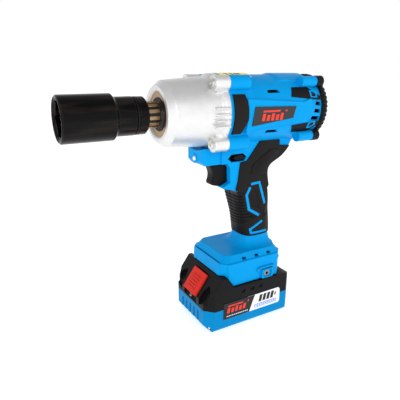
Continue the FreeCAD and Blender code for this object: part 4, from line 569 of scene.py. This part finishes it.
SEAM_LINES = [
    [(22.1, 159.5), (27.6, 146.8), (33.0, 132.5), (26.8, 124.8), (27.0, 114.0)],
    [(21.3, 131.3), (21.1, 123.2), (24.4, 118.0), (25.7, 109.6)],
    [(27.2, 114.2), (37.1, 119.3)],
    [(16.8, 115.6), (3.5, 109.6), (-9.0, 103.0)],
]
RIB_PITCH = 3.7
SLEEVE_LOW, SLEEVE_TOP = 93.6, 146.6
FRONT_RISE, BACK_RISE = 0.9912, 2.0


def pressed_in(x, y, z):
    """How deep the rubber is below its outer surface, in mm."""
    depth = 0.0
    if inside(RIB_FIELD, y, z):
        along = (z - 0.14 * y) / RIB_PITCH
        edge = min(gap_to(RIB_FIELD[1:6], y, z) / 1.6, 1.0)
        depth = 1.2 * edge * groove(abs(along - round(along)) * RIB_PITCH, 2.3)
        if y < 2.0:
            depth = max(depth, 0.8 * groove(abs(abs(x) - 9.0), 1.5))
    if inside(WINDOW, y, z):
        slant = (z + 0.9 * y) / 2.3
        rib = groove(abs(slant - round(slant)) * 2.3, 1.5)
        rise = min(gap_to(WINDOW + WINDOW[:1], y, z) / 0.7, 1.0)
        depth = max(depth, rise * (0.45 + 0.75 * rib))
    for line in SEAM_LINES:
        depth = max(depth, 1.0 * groove(gap_to(line, y, z), 1.5))
    for line in (STRIP_UPPER, STRIP_MIDDLE, STRIP_LOWER):
        depth = max(depth, 0.55 * groove(gap_to(line, y, z), 4.6))
    return depth


# %% Handle surface
def on_handle(turn, z):
    """Point on the smooth handle; turn runs 0 (front) to pi (back)."""
    front, back = through(FRONT, z), through(BACK, z)
    half, middle = (back - front) / 2, (back + front) / 2
    sine, cosine = math.sin(turn), math.cos(turn)
    power = 2 / through(SQUARENESS, z)
    x = through(SIDE, z) * abs(sine) ** power
    y = middle - half * math.copysign(abs(cosine) ** power, cosine)
    return Vector((x, y, z))


def even_turns(count, z=120.0):
    """Turns that space the points evenly round the section."""
    fine = [math.pi * k / 4000 for k in range(4001)]
    points = [on_handle(t, z) for t in fine]
    length = [0.0]
    for a, b in zip(points, points[1:]):
        length.append(length[-1] + (b - a).length)
    turns, k = [], 0
    for step in range(count):
        goal = length[-1] * step / (count - 1)
        while length[k] < goal:
            k += 1
        turns.append(fine[k])
    return turns


def handle_rows(side, columns, rows):
    """Grid of the ribbed rubber on one side of the handle."""
    turns = even_turns(columns)
    grid = []
    for r in range(rows):
        share = r / (rows - 1)
        row = []
        for turn in turns:
            forwards = max(0.0, math.cos(turn))
            top = SLEEVE_TOP + FRONT_RISE * forwards + BACK_RISE * (1 - forwards)
            low = SLEEVE_LOW - 1.5 * math.sin(turn) ** 2
            z = low + (top - low) * share
            flat = on_handle(turn, z)
            ahead = on_handle(min(turn + 0.01, math.pi), z)
            behind = on_handle(max(turn - 0.01, 0.0), z)
            tangent = (ahead - behind).normalized()
            outward = Vector((tangent.y, -tangent.x, 0))
            roll = 1.3 * (1 - min(share * rows * 0.42 / 1.6, 1.0)) ** 2
            push = pressed_in(flat.x, flat.y, flat.z) + roll
            spot = flat - outward * push
            spot.x = max(spot.x, 0.0) if 0 < turn < math.pi else 0.0
            row.append((side * spot.x, spot.y, spot.z))
        grid.append(row)
    return grid


def rubber_sleeve(side, word):
    columns, rows = ((170, 150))
    sleeve = piece("grip_" + word + "_sleeve", grid_mesh(handle_rows(side, columns, rows)),
                   [looks["black_rubber"]], "housing")
    return modified(sleeve, "SOLIDIFY", thickness=1.5 * MM, offset=-1.0)


sleeves = [rubber_sleeve(side, word) for side, word in SIDES]

# %% [markdown]
# ## Strips laid into the rubber
# The shell shows through the rubber as narrow blue strips. Each is a ribbon
# that follows a bent line, sits a hair above the rubber and has a flat top, so
# it is swept along the line with a small box section and then rounded.

# %% Blue strips
def strip_outline(line, width):
    """Left and right edges of a mitred ribbon along a (y, z) line."""
    spots = [Vector(p) for p in line]
    left, right = [], []
    for k, spot in enumerate(spots):
        before = (spot - spots[k - 1]).normalized() if k else None
        after = (spots[k + 1] - spot).normalized() if k < len(spots) - 1 else None
        way = ((before or after) + (after or before)).normalized()
        normal = Vector((-way.y, way.x))
        half = width / 2 / max(0.4, normal.dot(Vector((-(after or before).y,
                                                        (after or before).x))))
        left.append(spot + normal * half)
        right.append(spot - normal * half)
    return left, right


def side_height(y, z):
    """x of the smooth handle side at (y, z)."""
    front, back = through(FRONT, z), through(BACK, z)
    share = min(abs(y - (back + front) / 2) / ((back - front) / 2), 1.0)
    power = through(SQUARENESS, z)
    return through(SIDE, z) * (1 - share ** power) ** (1 / power)


def strip(mesh, side, line, width, sink=0.9, proud=0.25, steps=14):
    left, right = strip_outline(line, width)
    rows = []
    for k in range(len(line) - 1):
        for step in range(steps + (k == len(line) - 2)):
            t = step / steps
            a, b = left[k].lerp(left[k + 1], t), right[k].lerp(right[k + 1], t)
            ring = []
            for spot, rise in ((a, -sink), (a, proud - 0.15), (a.lerp(b, 0.12), proud),
                               (a.lerp(b, 0.88), proud), (b, proud - 0.15), (b, -sink)):
                x = side_height(spot.x, spot.y) + rise
                ring.append((side * x, spot.x, spot.y))
            rows.append(ring)
    grid_mesh(rows, closed=True, mesh=mesh, ends=True)


for side, word in SIDES:
    mesh = bmesh.new()
    strip(mesh, side, STRIP_UPPER, 2.7)
    strip(mesh, side, STRIP_MIDDLE, 3.0)
    strip(mesh, side, STRIP_LOWER, 2.5)
    piece("grip_" + word + "_strips", mesh, [looks["blue_plastic"]], "housing",
          smooth=30)

# %% [markdown]
# ## The rubber tail
# From the handle the rubber runs up both sides of the neck to the barrel and
# wraps the curved web behind it, where the hand pushes. It is cut from one
# block: the outline is carried across the tool, its long edges are rounded,
# and a boolean takes the middle out so that only a skin is left on the neck.

# %% Tail block
TAIL_HALF = 17.5
TAIL_FRONT = [(-11.2, 148.6), (-8.8, 157.6), (-6.2, 177.2), (2.0, 178.2), (17.5, 197.3),
              (43.2, 196.9), (43.9, 191.0), (57.4, 189.6)]
TAIL_BACK = [(57.4, 189.6), (52.4, 184.0), (46.6, 179.1), (40.0, 175.6), (34.0, 172.4),
             (30.2, 168.4), (29.2, 163.8), (29.8, 157.6), (31.0, 151.6), (31.4, 148.6),
             (29.6, 145.8)]
NECK_ROOM = [(-30, 140.0), (31.0, 140.0), (27.3, 162.0), (27.9, 168.1), (32.9, 174.5),
             (45.3, 180.3), (56.2, 189.8), (56.2, 205.0), (-30, 205.0)]

outline = TAIL_FRONT[:-1] + [tuple(p) for p in smooth_line(TAIL_BACK, 5)] \
    + [(-7.4, 145.6)]
tail = piece("grip_tail", prism(outline, -TAIL_HALF, TAIL_HALF),
             [looks["black_rubber"]], "housing",
             replaces=["grip_left", "grip_right"])
tail = modified(tail, "BEVEL", width=1.5 * MM, segments=4, limit_method="ANGLE",
                angle_limit=math.radians(50))
room = piece("tail_room", prism(NECK_ROOM, -15.9, 15.9), [], "housing")
tail = modified(tail, "BOOLEAN", operation="DIFFERENCE", object=room, solver="EXACT")
bpy.data.objects.remove(room)
tail.data.shade_smooth()
tail.data.set_sharp_from_angle(angle=math.radians(35))
print("tail faces", len(tail.data.polygons))

# %% [markdown]
# A raised panel on each side of the tail breaks up the plain rubber. It is a
# thin plate with its own outline and rounded rim.

# %% Tail panels
PANEL = [(7.6, 171.6), (16.4, 178.8), (31.6, 187.8), (41.0, 187.9), (42.8, 182.8),
         (33.6, 176.4), (29.4, 171.2), (26.2, 165.0), (25.8, 161.0), (6.8, 162.8)]
for side, word in SIDES:
    panel = piece("grip_" + word + "_panel",
                  prism(PANEL, *sorted((side * 16.6, side * 18.15))),
                  [looks["black_rubber"]], "housing")
    modified(panel, "BEVEL", width=0.5 * MM, segments=2, limit_method="ANGLE",
             angle_limit=math.radians(30))
    panel.data.shade_smooth()
    panel.data.set_sharp_from_angle(angle=math.radians(35))

# %% [markdown]
# ## Printed graphics
# Every printed patch is a thin plate over the film below it. The marks are
# plain shapes: slanted blocks, bars, dashes and a charge gauge. One helper
# carries a list of outlines to both sides of the tool.

# %% Printed plates
def both_sides_print(name, outlines, x0, x1, look, body):
    for side, word in SIDES:
        mesh = bmesh.new()
        for outline in outlines:
            prism(outline, *sorted((side * x0, side * x1)), mesh=mesh)
        piece(name + "_" + word, mesh, [look], body, smooth=0)


def slanted(y, z, width, height, lean):
    """A parallelogram whose lower left corner is (y, z)."""
    return [(y, z), (y + width, z), (y + width + lean, z + height), (y + lean, z + height)]


def rounded_outline(y0, y1, z0, z1, radius, steps=5):
    corners = [(y1 - radius, z1 - radius, 0), (y0 + radius, z1 - radius, 90),
               (y0 + radius, z0 + radius, 180), (y1 - radius, z0 + radius, 270)]
    points = []
    for y, z, start in corners:
        for k in range(steps + 1):
            a = math.radians(start + 90 * k / steps)
            points.append((y + radius * math.cos(a), z + radius * math.sin(a)))
    return points


def emblem(y, z, scale):
    """Plain mark: a long bar over five leaning blocks and a dot."""
    shapes = [slanted(y + 1.2 * scale, z + 6.6 * scale, 17.0 * scale, 1.5 * scale, 0.4)]
    for k, tall in enumerate((5.6, 4.6, 5.6, 4.6, 5.6)):
        shapes.append(slanted(y + (k * 4.5) * scale, z, 2.9 * scale, tall * scale,
                              1.1 * scale))
    shapes.append(rounded_outline(y + 23.6 * scale, y + 25.4 * scale, z + 6.4 * scale,
                                  z + 8.2 * scale, 0.9 * scale))
    return shapes


# %% Badge and battery label
BADGE_X = 36.7
both_sides_print("badge_mark", emblem(3.0, 220.2, 1.22), BADGE_X, BADGE_X + 0.3, print_red,
                 "housing")
dark_panel = [(-37.1, 14.5), (-4.0, 14.7), (3.3, 33.3), (-37.1, 33.1)]
dashes = [slanted(-33.4 + 2.35 * k, 17.0, 1.5, 1.1, 0.2) for k in range(12)]
gauge = [slanted(8.4 + 5.3 * k, 23.2, 3.8, 8.2, 1.8) for k in range(4)]
gauge.append(slanted(30.2, 25.6, 2.0, 3.6, 0.8))
pill = rounded_outline(2.8, 33.6, 17.2, 21.2, 1.6)
inner = rounded_outline(3.5, 32.9, 17.9, 20.5, 1.1)
ticks = [slanted(6.0 + 2.9 * k, 18.6, 1.9, 1.2, 0.2) for k in range(9)]
LABEL_PRINTS = [
    ("label_dark", [dark_panel], 37.5, 38.0, print_black),
    ("label_mark", emblem(-33.0, 21.0, 1.12), 37.95, 38.1, print_red),
    ("label_dashes", dashes, 37.95, 38.06, print_white),
    ("label_gauge", gauge, 37.85, 38.0, print_black),
    ("label_pill", [pill], 37.85, 37.98, print_blue),
    ("label_pill_middle", [inner], 37.95, 38.04, print_white),
    ("label_ticks", ticks, 38.0, 38.08, print_blue),
]
for name, outlines, under, over, look in LABEL_PRINTS:
    both_sides_print(name, outlines, under, over, look, "battery")

# %% [markdown]
# On the barrel the curved sticker and the small windows need plates bent to the
# same radius. Each point of the outline is set on a circle about the drive axis.

# %% Bent plates
def bent(outline, side, radius):
    """A (y, z) outline set on a circle about the drive axis."""
    return [(side * math.sqrt(radius ** 2 - (z - AXIS) ** 2), y, z) for y, z in outline]


def divided(outline, step=1.2):
    points = []
    for a, b in zip(outline, outline[1:] + outline[:1]):
        count = max(1, int(math.dist(a, b) / step))
        points += [(a[0] + (b[0] - a[0]) * k / count, a[1] + (b[1] - a[1]) * k / count)
                   for k in range(count)]
    return points


def shrunk(outline, share):
    middle = [sum(p[k] for p in outline) / len(outline) for k in (0, 1)]
    return [tuple(middle[k] + (p[k] - middle[k]) * share for k in (0, 1)) for p in outline]


WINDOW_FRAME = [(67.2, 19.4), (71.8, 19.2), (76.8, 15.6), (76.0, 11.8), (67.2, 12.4)]
for side, word in SIDES:
    frames, centres = bmesh.new(), bmesh.new()
    for up in (1, -1):
        outline = divided([(y, AXIS + up * z) for y, z in WINDOW_FRAME])
        inner = shrunk(outline, 0.62)
        grid_mesh([bent(outline, side, 34.2), bent(outline, side, 35.75),
                   bent(inner, side, 35.75), bent(inner, side, 34.2)],
                  closed=True, mesh=frames, ring=True)
        centre = shrunk(outline, 0.66)
        slab(centres, bent(centre, side, 33.9), bent(centre, side, 35.0))
    piece("window_frames_" + word, frames, [looks["blue_plastic"]], "housing",
          smooth=30)
    piece("window_centres_" + word, centres, [print_black], "housing", smooth=30)


def sticker_bar(mesh, y0, y1, low, high, inner=36.4, outer=36.6, steps=6):
    """Bent bar on the top sticker between two arc positions in mm."""
    rows = []
    for k in range(steps + 1):
        angle = (low + (high - low) * k / steps) / inner
        rows.append([around_axis(r, angle, y)
                     for r, y in ((inner, y0), (outer, y0), (outer, y1), (inner, y1))])
    grid_mesh(rows, closed=True, mesh=mesh, ends=True)


mesh = bmesh.new()
for k, (start, end) in enumerate(((-13, -3), (-13, -5), (-13, -1), (-13, -7))):
    sticker_bar(mesh, -21.0 + 5.4 * k, -19.8 + 5.4 * k, start, end)
for start, end in ((3, 13), (4.2, 11.8)):
    sticker_bar(mesh, -20.8 + (start - 3) * 5, -19.2 + (start - 3) * 5, start, end)
sticker_bar(mesh, -11.0, -4.6, 6.2, 9.8)
piece("sticker_print", mesh, [print_black], "housing", smooth=30)

# %% [markdown]
# ## The rear rim
# The end cap has a thick rim with stepped teeth, which gives the fingers a hold
# and hides the seam. Its profile is turned about the drive axis and every
# second step is a little lower. Inside the rim lies a grille of radial bars.

# %% Rear rim and grille
RIM = [(84.1, 32.6), (84.7, 34.2), (86.2, 35.0), (88.8, 35.0), (91.4, 34.2),
       (93.7, 32.2), (95.6, 28.8), (96.0, 27.0), (95.0, 26.2), (92.4, 25.8)]
TEETH = 44


def rim_rows(around=528):
    profile = smooth_line(RIM, 4)
    rows = []
    for k in range(around):
        turn = k * TEETH / around
        phase = abs((turn % 1.0) - 0.5) * 2
        step = min(max((phase - 0.42) / 0.16, 0.0), 1.0)
        row = []
        for y, radius in profile:
            low = 0.9 * step * (1.0 if 85.2 < y < 94.5 else 0.0)
            row.append(around_axis(radius - low, 2 * math.pi * k / around, y))
        rows.append(row)
    return rows


rim = piece("rear_rim", grid_mesh(rim_rows(), ring=True), [looks["black_plastic"]],
            "housing")
rim = modified(rim, "SOLIDIFY", thickness=0.8 * MM, offset=-1.0)

BARS = 32
mesh = bmesh.new()
for k in range(BARS):
    bar_at(mesh, 2 * math.pi * k / BARS, 10.5, 25.4, 0.55, 92.2, 93.4)
grille = piece("rear_grille", mesh, [looks["black_plastic"]], "housing")
modified(grille, "BEVEL", width=0.25 * MM, segments=2, limit_method="ANGLE")

# %% [markdown]
# ## The trigger
# A trigger is hollowed for the finger, and every corner that a finger meets is
# rounded. Each level is a rounded outline from the back round the front and to
# the back again, and the levels shrink a little at the very top and bottom.

# %% Trigger
TRIGGER_FRONT = [(153.2, -31.6), (154.4, -33.4), (156.6, -33.9), (160.5, -32.6),
                 (165.5, -32.4), (170.0, -33.8), (173.6, -35.6), (175.6, -36.0)]


TRIGGER_LOW, TRIGGER_TOP = 153.2, 175.6
LOW_ROUND, TOP_ROUND = 1.4, 0.8


def rounding(gap, radius):
    """How far a level shrinks when it is this near the end."""
    share = max(0.0, 1 - gap / radius)
    return radius * (1 - math.sqrt(1 - share * share))


def trigger_row(z, shrink):
    front, half = through(TRIGGER_FRONT, z) + shrink, 8.8 - shrink
    corner = 5.2
    row = [(half, -13.0, z)]
    for k in range(13):
        a = math.radians(90 * k / 12)
        row.append((half - corner + corner * math.cos(a),
                    front + corner * 0.8 - corner * 0.8 * math.sin(a), z))
    row += [(-x, y, z) for x, y, z in reversed(row)]
    return row


rows = []
for k in range(49):
    z = TRIGGER_LOW + (TRIGGER_TOP - TRIGGER_LOW) * k / 48
    gap = max(0.0, TRIGGER_TOP - z)
    rows.append(trigger_row(z, rounding(z - TRIGGER_LOW, LOW_ROUND)
                            + rounding(gap, TOP_ROUND)))
mesh = grid_mesh(rows, closed=True, ends=True)
lying = Matrix.Translation((0, -8.0, 165.0)) @ Matrix.Rotation(math.pi / 2, 4, "X")
bmesh.ops.create_cone(mesh, cap_ends=True, segments=32, radius1=2.35, radius2=2.35,
                      depth=12.0, matrix=lying)
piece("trigger_smooth", mesh, [looks["black_plastic"]], "trigger",
      replaces=["trigger"], smooth=50)

# %% [markdown]
# ## Splines on the anvil
# Between the nose and the socket the anvil carries a short ring of splines.
# Old grease has turned them golden brown. A black sleeve under them puts painted
# shade in the gaps between them. The ring rides on the anvil, so it turns with it.

# %% Anvil splines
SPLINES = 12
# Painted shade: a black sleeve under the splines darkens the gaps between them.
gap_shade = [(-102.9, 10.4), (-102.9, 10.9), (-90.8, 10.9), (-90.8, 10.4)]
piece("anvil_gap_shade", turned(gap_shade), [print_black], "anvil")
mesh = bmesh.new()
for k in range(SPLINES):
    bar_at(mesh, 2 * math.pi * (k + 0.3) / SPLINES, 10.2, 12.1, 1.75, -102.6, -91.6)
splines = piece("anvil_splines", mesh, [looks["bronze"]], "anvil")
modified(splines, "BEVEL", width=0.45 * MM, segments=3, limit_method="ANGLE")

# %% [markdown]
# ## Round the nose
# The seal sits deep in the nose of the case, and the gap next to the shaft lies in
# shade. A dished dark ring fills that gap as painted shade.

# %% Nose ring
dish = [(-88.4, 15.6), (-88.9, 15.2), (-88.9, 14.6), (-88.5, 14.2), (-88.35, 11.0)]
# Painted shade: a dark ring set in the gap next to the shaft.
piece("nose_gap_shade", turned(dish), [looks["black_rubber"]], "housing")


# %% [markdown]
# ## The swell at the foot
# The handle does not meet the foot in a corner: the plastic swells out in one
# concave sweep and runs level into the plateau. The rows start on the handle's
# section and move outwards faster and faster on the way down. At the back there
# is little room, so the swell fades there.

# %% Swell
def swell_rows(columns=96, levels=14, top=94.4, plateau=81.9):
    rows = []
    for r in range(levels):
        share = r / (levels - 1)
        z = plateau + (top - plateau) * share
        row = []
        for k in range(columns):
            turn = 2 * math.pi * k / columns
            mirror = 1 if turn <= math.pi else -1
            turn = min(turn, 2 * math.pi - turn)
            spot = on_handle(turn, 94.0)
            out = 10.5 * (1 - math.sqrt(1 - (1 - share) ** 2))
            forwards = max(0.15, (1 + math.cos(turn)) / 2) ** 0.6
            spot.x = (spot.x * 0.975 + out * 0.95 * math.sin(turn)) * mirror
            spot.y = 20.8 + (spot.y - 20.8) * 0.955 - out * forwards * math.cos(turn)
            row.append((spot.x, spot.y, z))
        rows.append(row)
    return rows


piece("foot_swell", grid_mesh(swell_rows(), closed=True), [looks["blue_plastic"]],
      "housing", smooth=60)

# %% [markdown]
# ## Details of the foot and the collar
# A raised frame stands round each hook insert and a dark slot runs along the bar
# above it. Small plugs close the screw wells under the battery, and the socket has
# a spring ring of dark wire in its collar groove.

# %% Hook frames
def frame_outline(mesh, outer, inner, side, x0, x1):
    """Flat ring between two closed outlines with as many points."""
    loops = [[(side * x, y, z) for y, z in outline]
             for outline, x in ((outer, x0), (outer, x1), (inner, x1), (inner, x0))]
    grid_mesh(loops, closed=True, mesh=mesh, ring=True)


for side, word in SIDES:
    mesh = bmesh.new()
    frame_outline(mesh, rounded_outline(12.6, 27.4, 49.9, 60.2, 1.2),
                  rounded_outline(14.6, 25.4, 51.2, 58.6, 0.8), side, 34.0, 37.1)
    prism(rounded_outline(8.6, 29.4, 61.6, 63.4, 0.8), *sorted((side * 34.0, side * 36.4)),
          mesh=mesh)
    piece("hook_frame_" + word, mesh, [looks["blue_plastic"]], "housing",
          smooth=30)
    mesh = bmesh.new()
    prism(rounded_outline(9.4, 27.6, 60.5, 61.3, 0.3), *sorted((side * 35.0, side * 35.95)),
          mesh=mesh)
    piece("hook_slot_" + word, mesh, [print_black], "housing", smooth=30)

# %% Plugs in the screw wells
mesh = bmesh.new()
circle = [(math.sin(2 * math.pi * k / 32), math.cos(2 * math.pi * k / 32))
          for k in range(32)]
plug = [(0.4, 5.9), (1.1, 5.7), (1.3, 5.2), (2.2, 5.2), (2.45, 5.5)]
for x, y in ((31.5, 50.5), (31.5, -50.5), (-31.5, 50.5), (-31.5, -50.5)):
    rows = [[(x + radius * across, y + radius * along, z) for across, along in circle]
            for radius, z in plug]
    grid_mesh(rows, closed=True, mesh=mesh)
piece("well_plugs", mesh, [looks["blue_plastic"]], "battery")

# %% Wire ring on the socket
WIRE_R, RING_R, RING_Y = 0.85, 16.2, -113.3
wire = [(RING_Y + WIRE_R * math.sin(math.pi * j / 6),
         RING_R + WIRE_R * math.cos(math.pi * j / 6)) for j in range(12)]
piece("socket_ring", turned(wire, closed=True), [looks["black_rubber"]],
      "impact_socket")

# %% [markdown]
# ## Floor, light and camera
# A pale floor and soft boxes of light all round are what a catalogue uses. The
# boxes are large, so that their reflections are broad bands on the casting and
# the socket, and the floor runs far back, so that it has no visible edge.

# %% Floor
def disc_mesh(name, radius, rings=6, around=96):
    mesh = bmesh.new()
    bmesh.ops.create_circle(mesh, cap_ends=True, radius=radius, segments=around)
    for share in [k / rings for k in range(1, rings)]:
        bmesh.ops.inset_region(mesh, faces=[max(mesh.faces, key=lambda f: f.calc_area())],
                               thickness=radius * share / rings, use_even_offset=True)
    data = bpy.data.meshes.new(name)
    mesh.to_mesh(data)
    mesh.free()
    made = bpy.data.objects.new(name, data)
    bpy.context.scene.collection.objects.link(made)
    return made


floor = disc_mesh("studio_floor", 9.0)
floor_look = Look("studio_floor", (0.93, 0.93, 0.93), 0.75)
floor_look.shader.inputs["Specular IOR Level"].default_value = 0.1
floor_look.shader.inputs["Emission Color"].default_value = (1, 1, 1, 1)
floor_look.shader.inputs["Emission Strength"].default_value = 0.56
floor.data.materials.append(floor_look.material)

# %% Light
world = bpy.data.worlds.new("studio")
bpy.context.scene.world = world
world.use_nodes = True
background = world.node_tree.nodes["Background"]
way = world.node_tree.nodes.new("ShaderNodeTexCoord").outputs["Generated"]
parts_of = world.node_tree.nodes.new("ShaderNodeSeparateXYZ")
ramp = world.node_tree.nodes.new("ShaderNodeValToRGB")
horizon, zenith = ramp.color_ramp.elements
horizon.position, horizon.color = 0.35, (1, 1, 1, 1)
zenith.position, zenith.color = 0.75, (0.42, 0.42, 0.43, 1)
world.node_tree.links.new(way, parts_of.inputs[0])
world.node_tree.links.new(parts_of.outputs["Z"], ramp.inputs[0])
world.node_tree.links.new(ramp.outputs[0], background.inputs["Color"])
background.inputs["Strength"].default_value = 1.0


def soft_box(name, place, aim, width, height, power):
    lamp = bpy.data.lights.new(name, "AREA")
    lamp.shape, lamp.size, lamp.size_y, lamp.energy = "RECTANGLE", width, height, power
    made = bpy.data.objects.new(name, lamp)
    made.location = place
    towards = Vector(aim) - Vector(place)
    made.rotation_euler = towards.to_track_quat("-Z", "Y").to_euler()
    bpy.context.scene.collection.objects.link(made)


MIDDLE = (0.0, -0.03, 0.13)
soft_box("key_box", (1.25, -0.35, 0.62), MIDDLE, 0.32, 0.8, 4.6)
soft_box("side_box", (1.0, 1.0, 0.55), MIDDLE, 0.3, 0.8, 1.2)
soft_box("front_box", (0.5, -1.3, 0.30), MIDDLE, 0.25, 0.7, 1.5)
bpy.context.scene.view_settings.view_transform = "Standard"
print("lights:", len(bpy.data.lights))

# %% Camera
camera = bpy.data.objects.new("camera", bpy.data.cameras.new("camera"))
bpy.context.scene.collection.objects.link(camera)
bpy.context.scene.camera = camera
camera.data.lens = 37.5
camera.data.clip_start = 0.01
TURN, TILT = 0.518, 0.304
forward = Vector((-math.cos(TURN) * math.cos(TILT), math.sin(TURN) * math.cos(TILT),
                  -math.sin(TILT)))
camera.location = Vector((357.8, -248.0, 267.7)) * MM
camera.rotation_euler = forward.to_track_quat("-Z", "Y").to_euler()
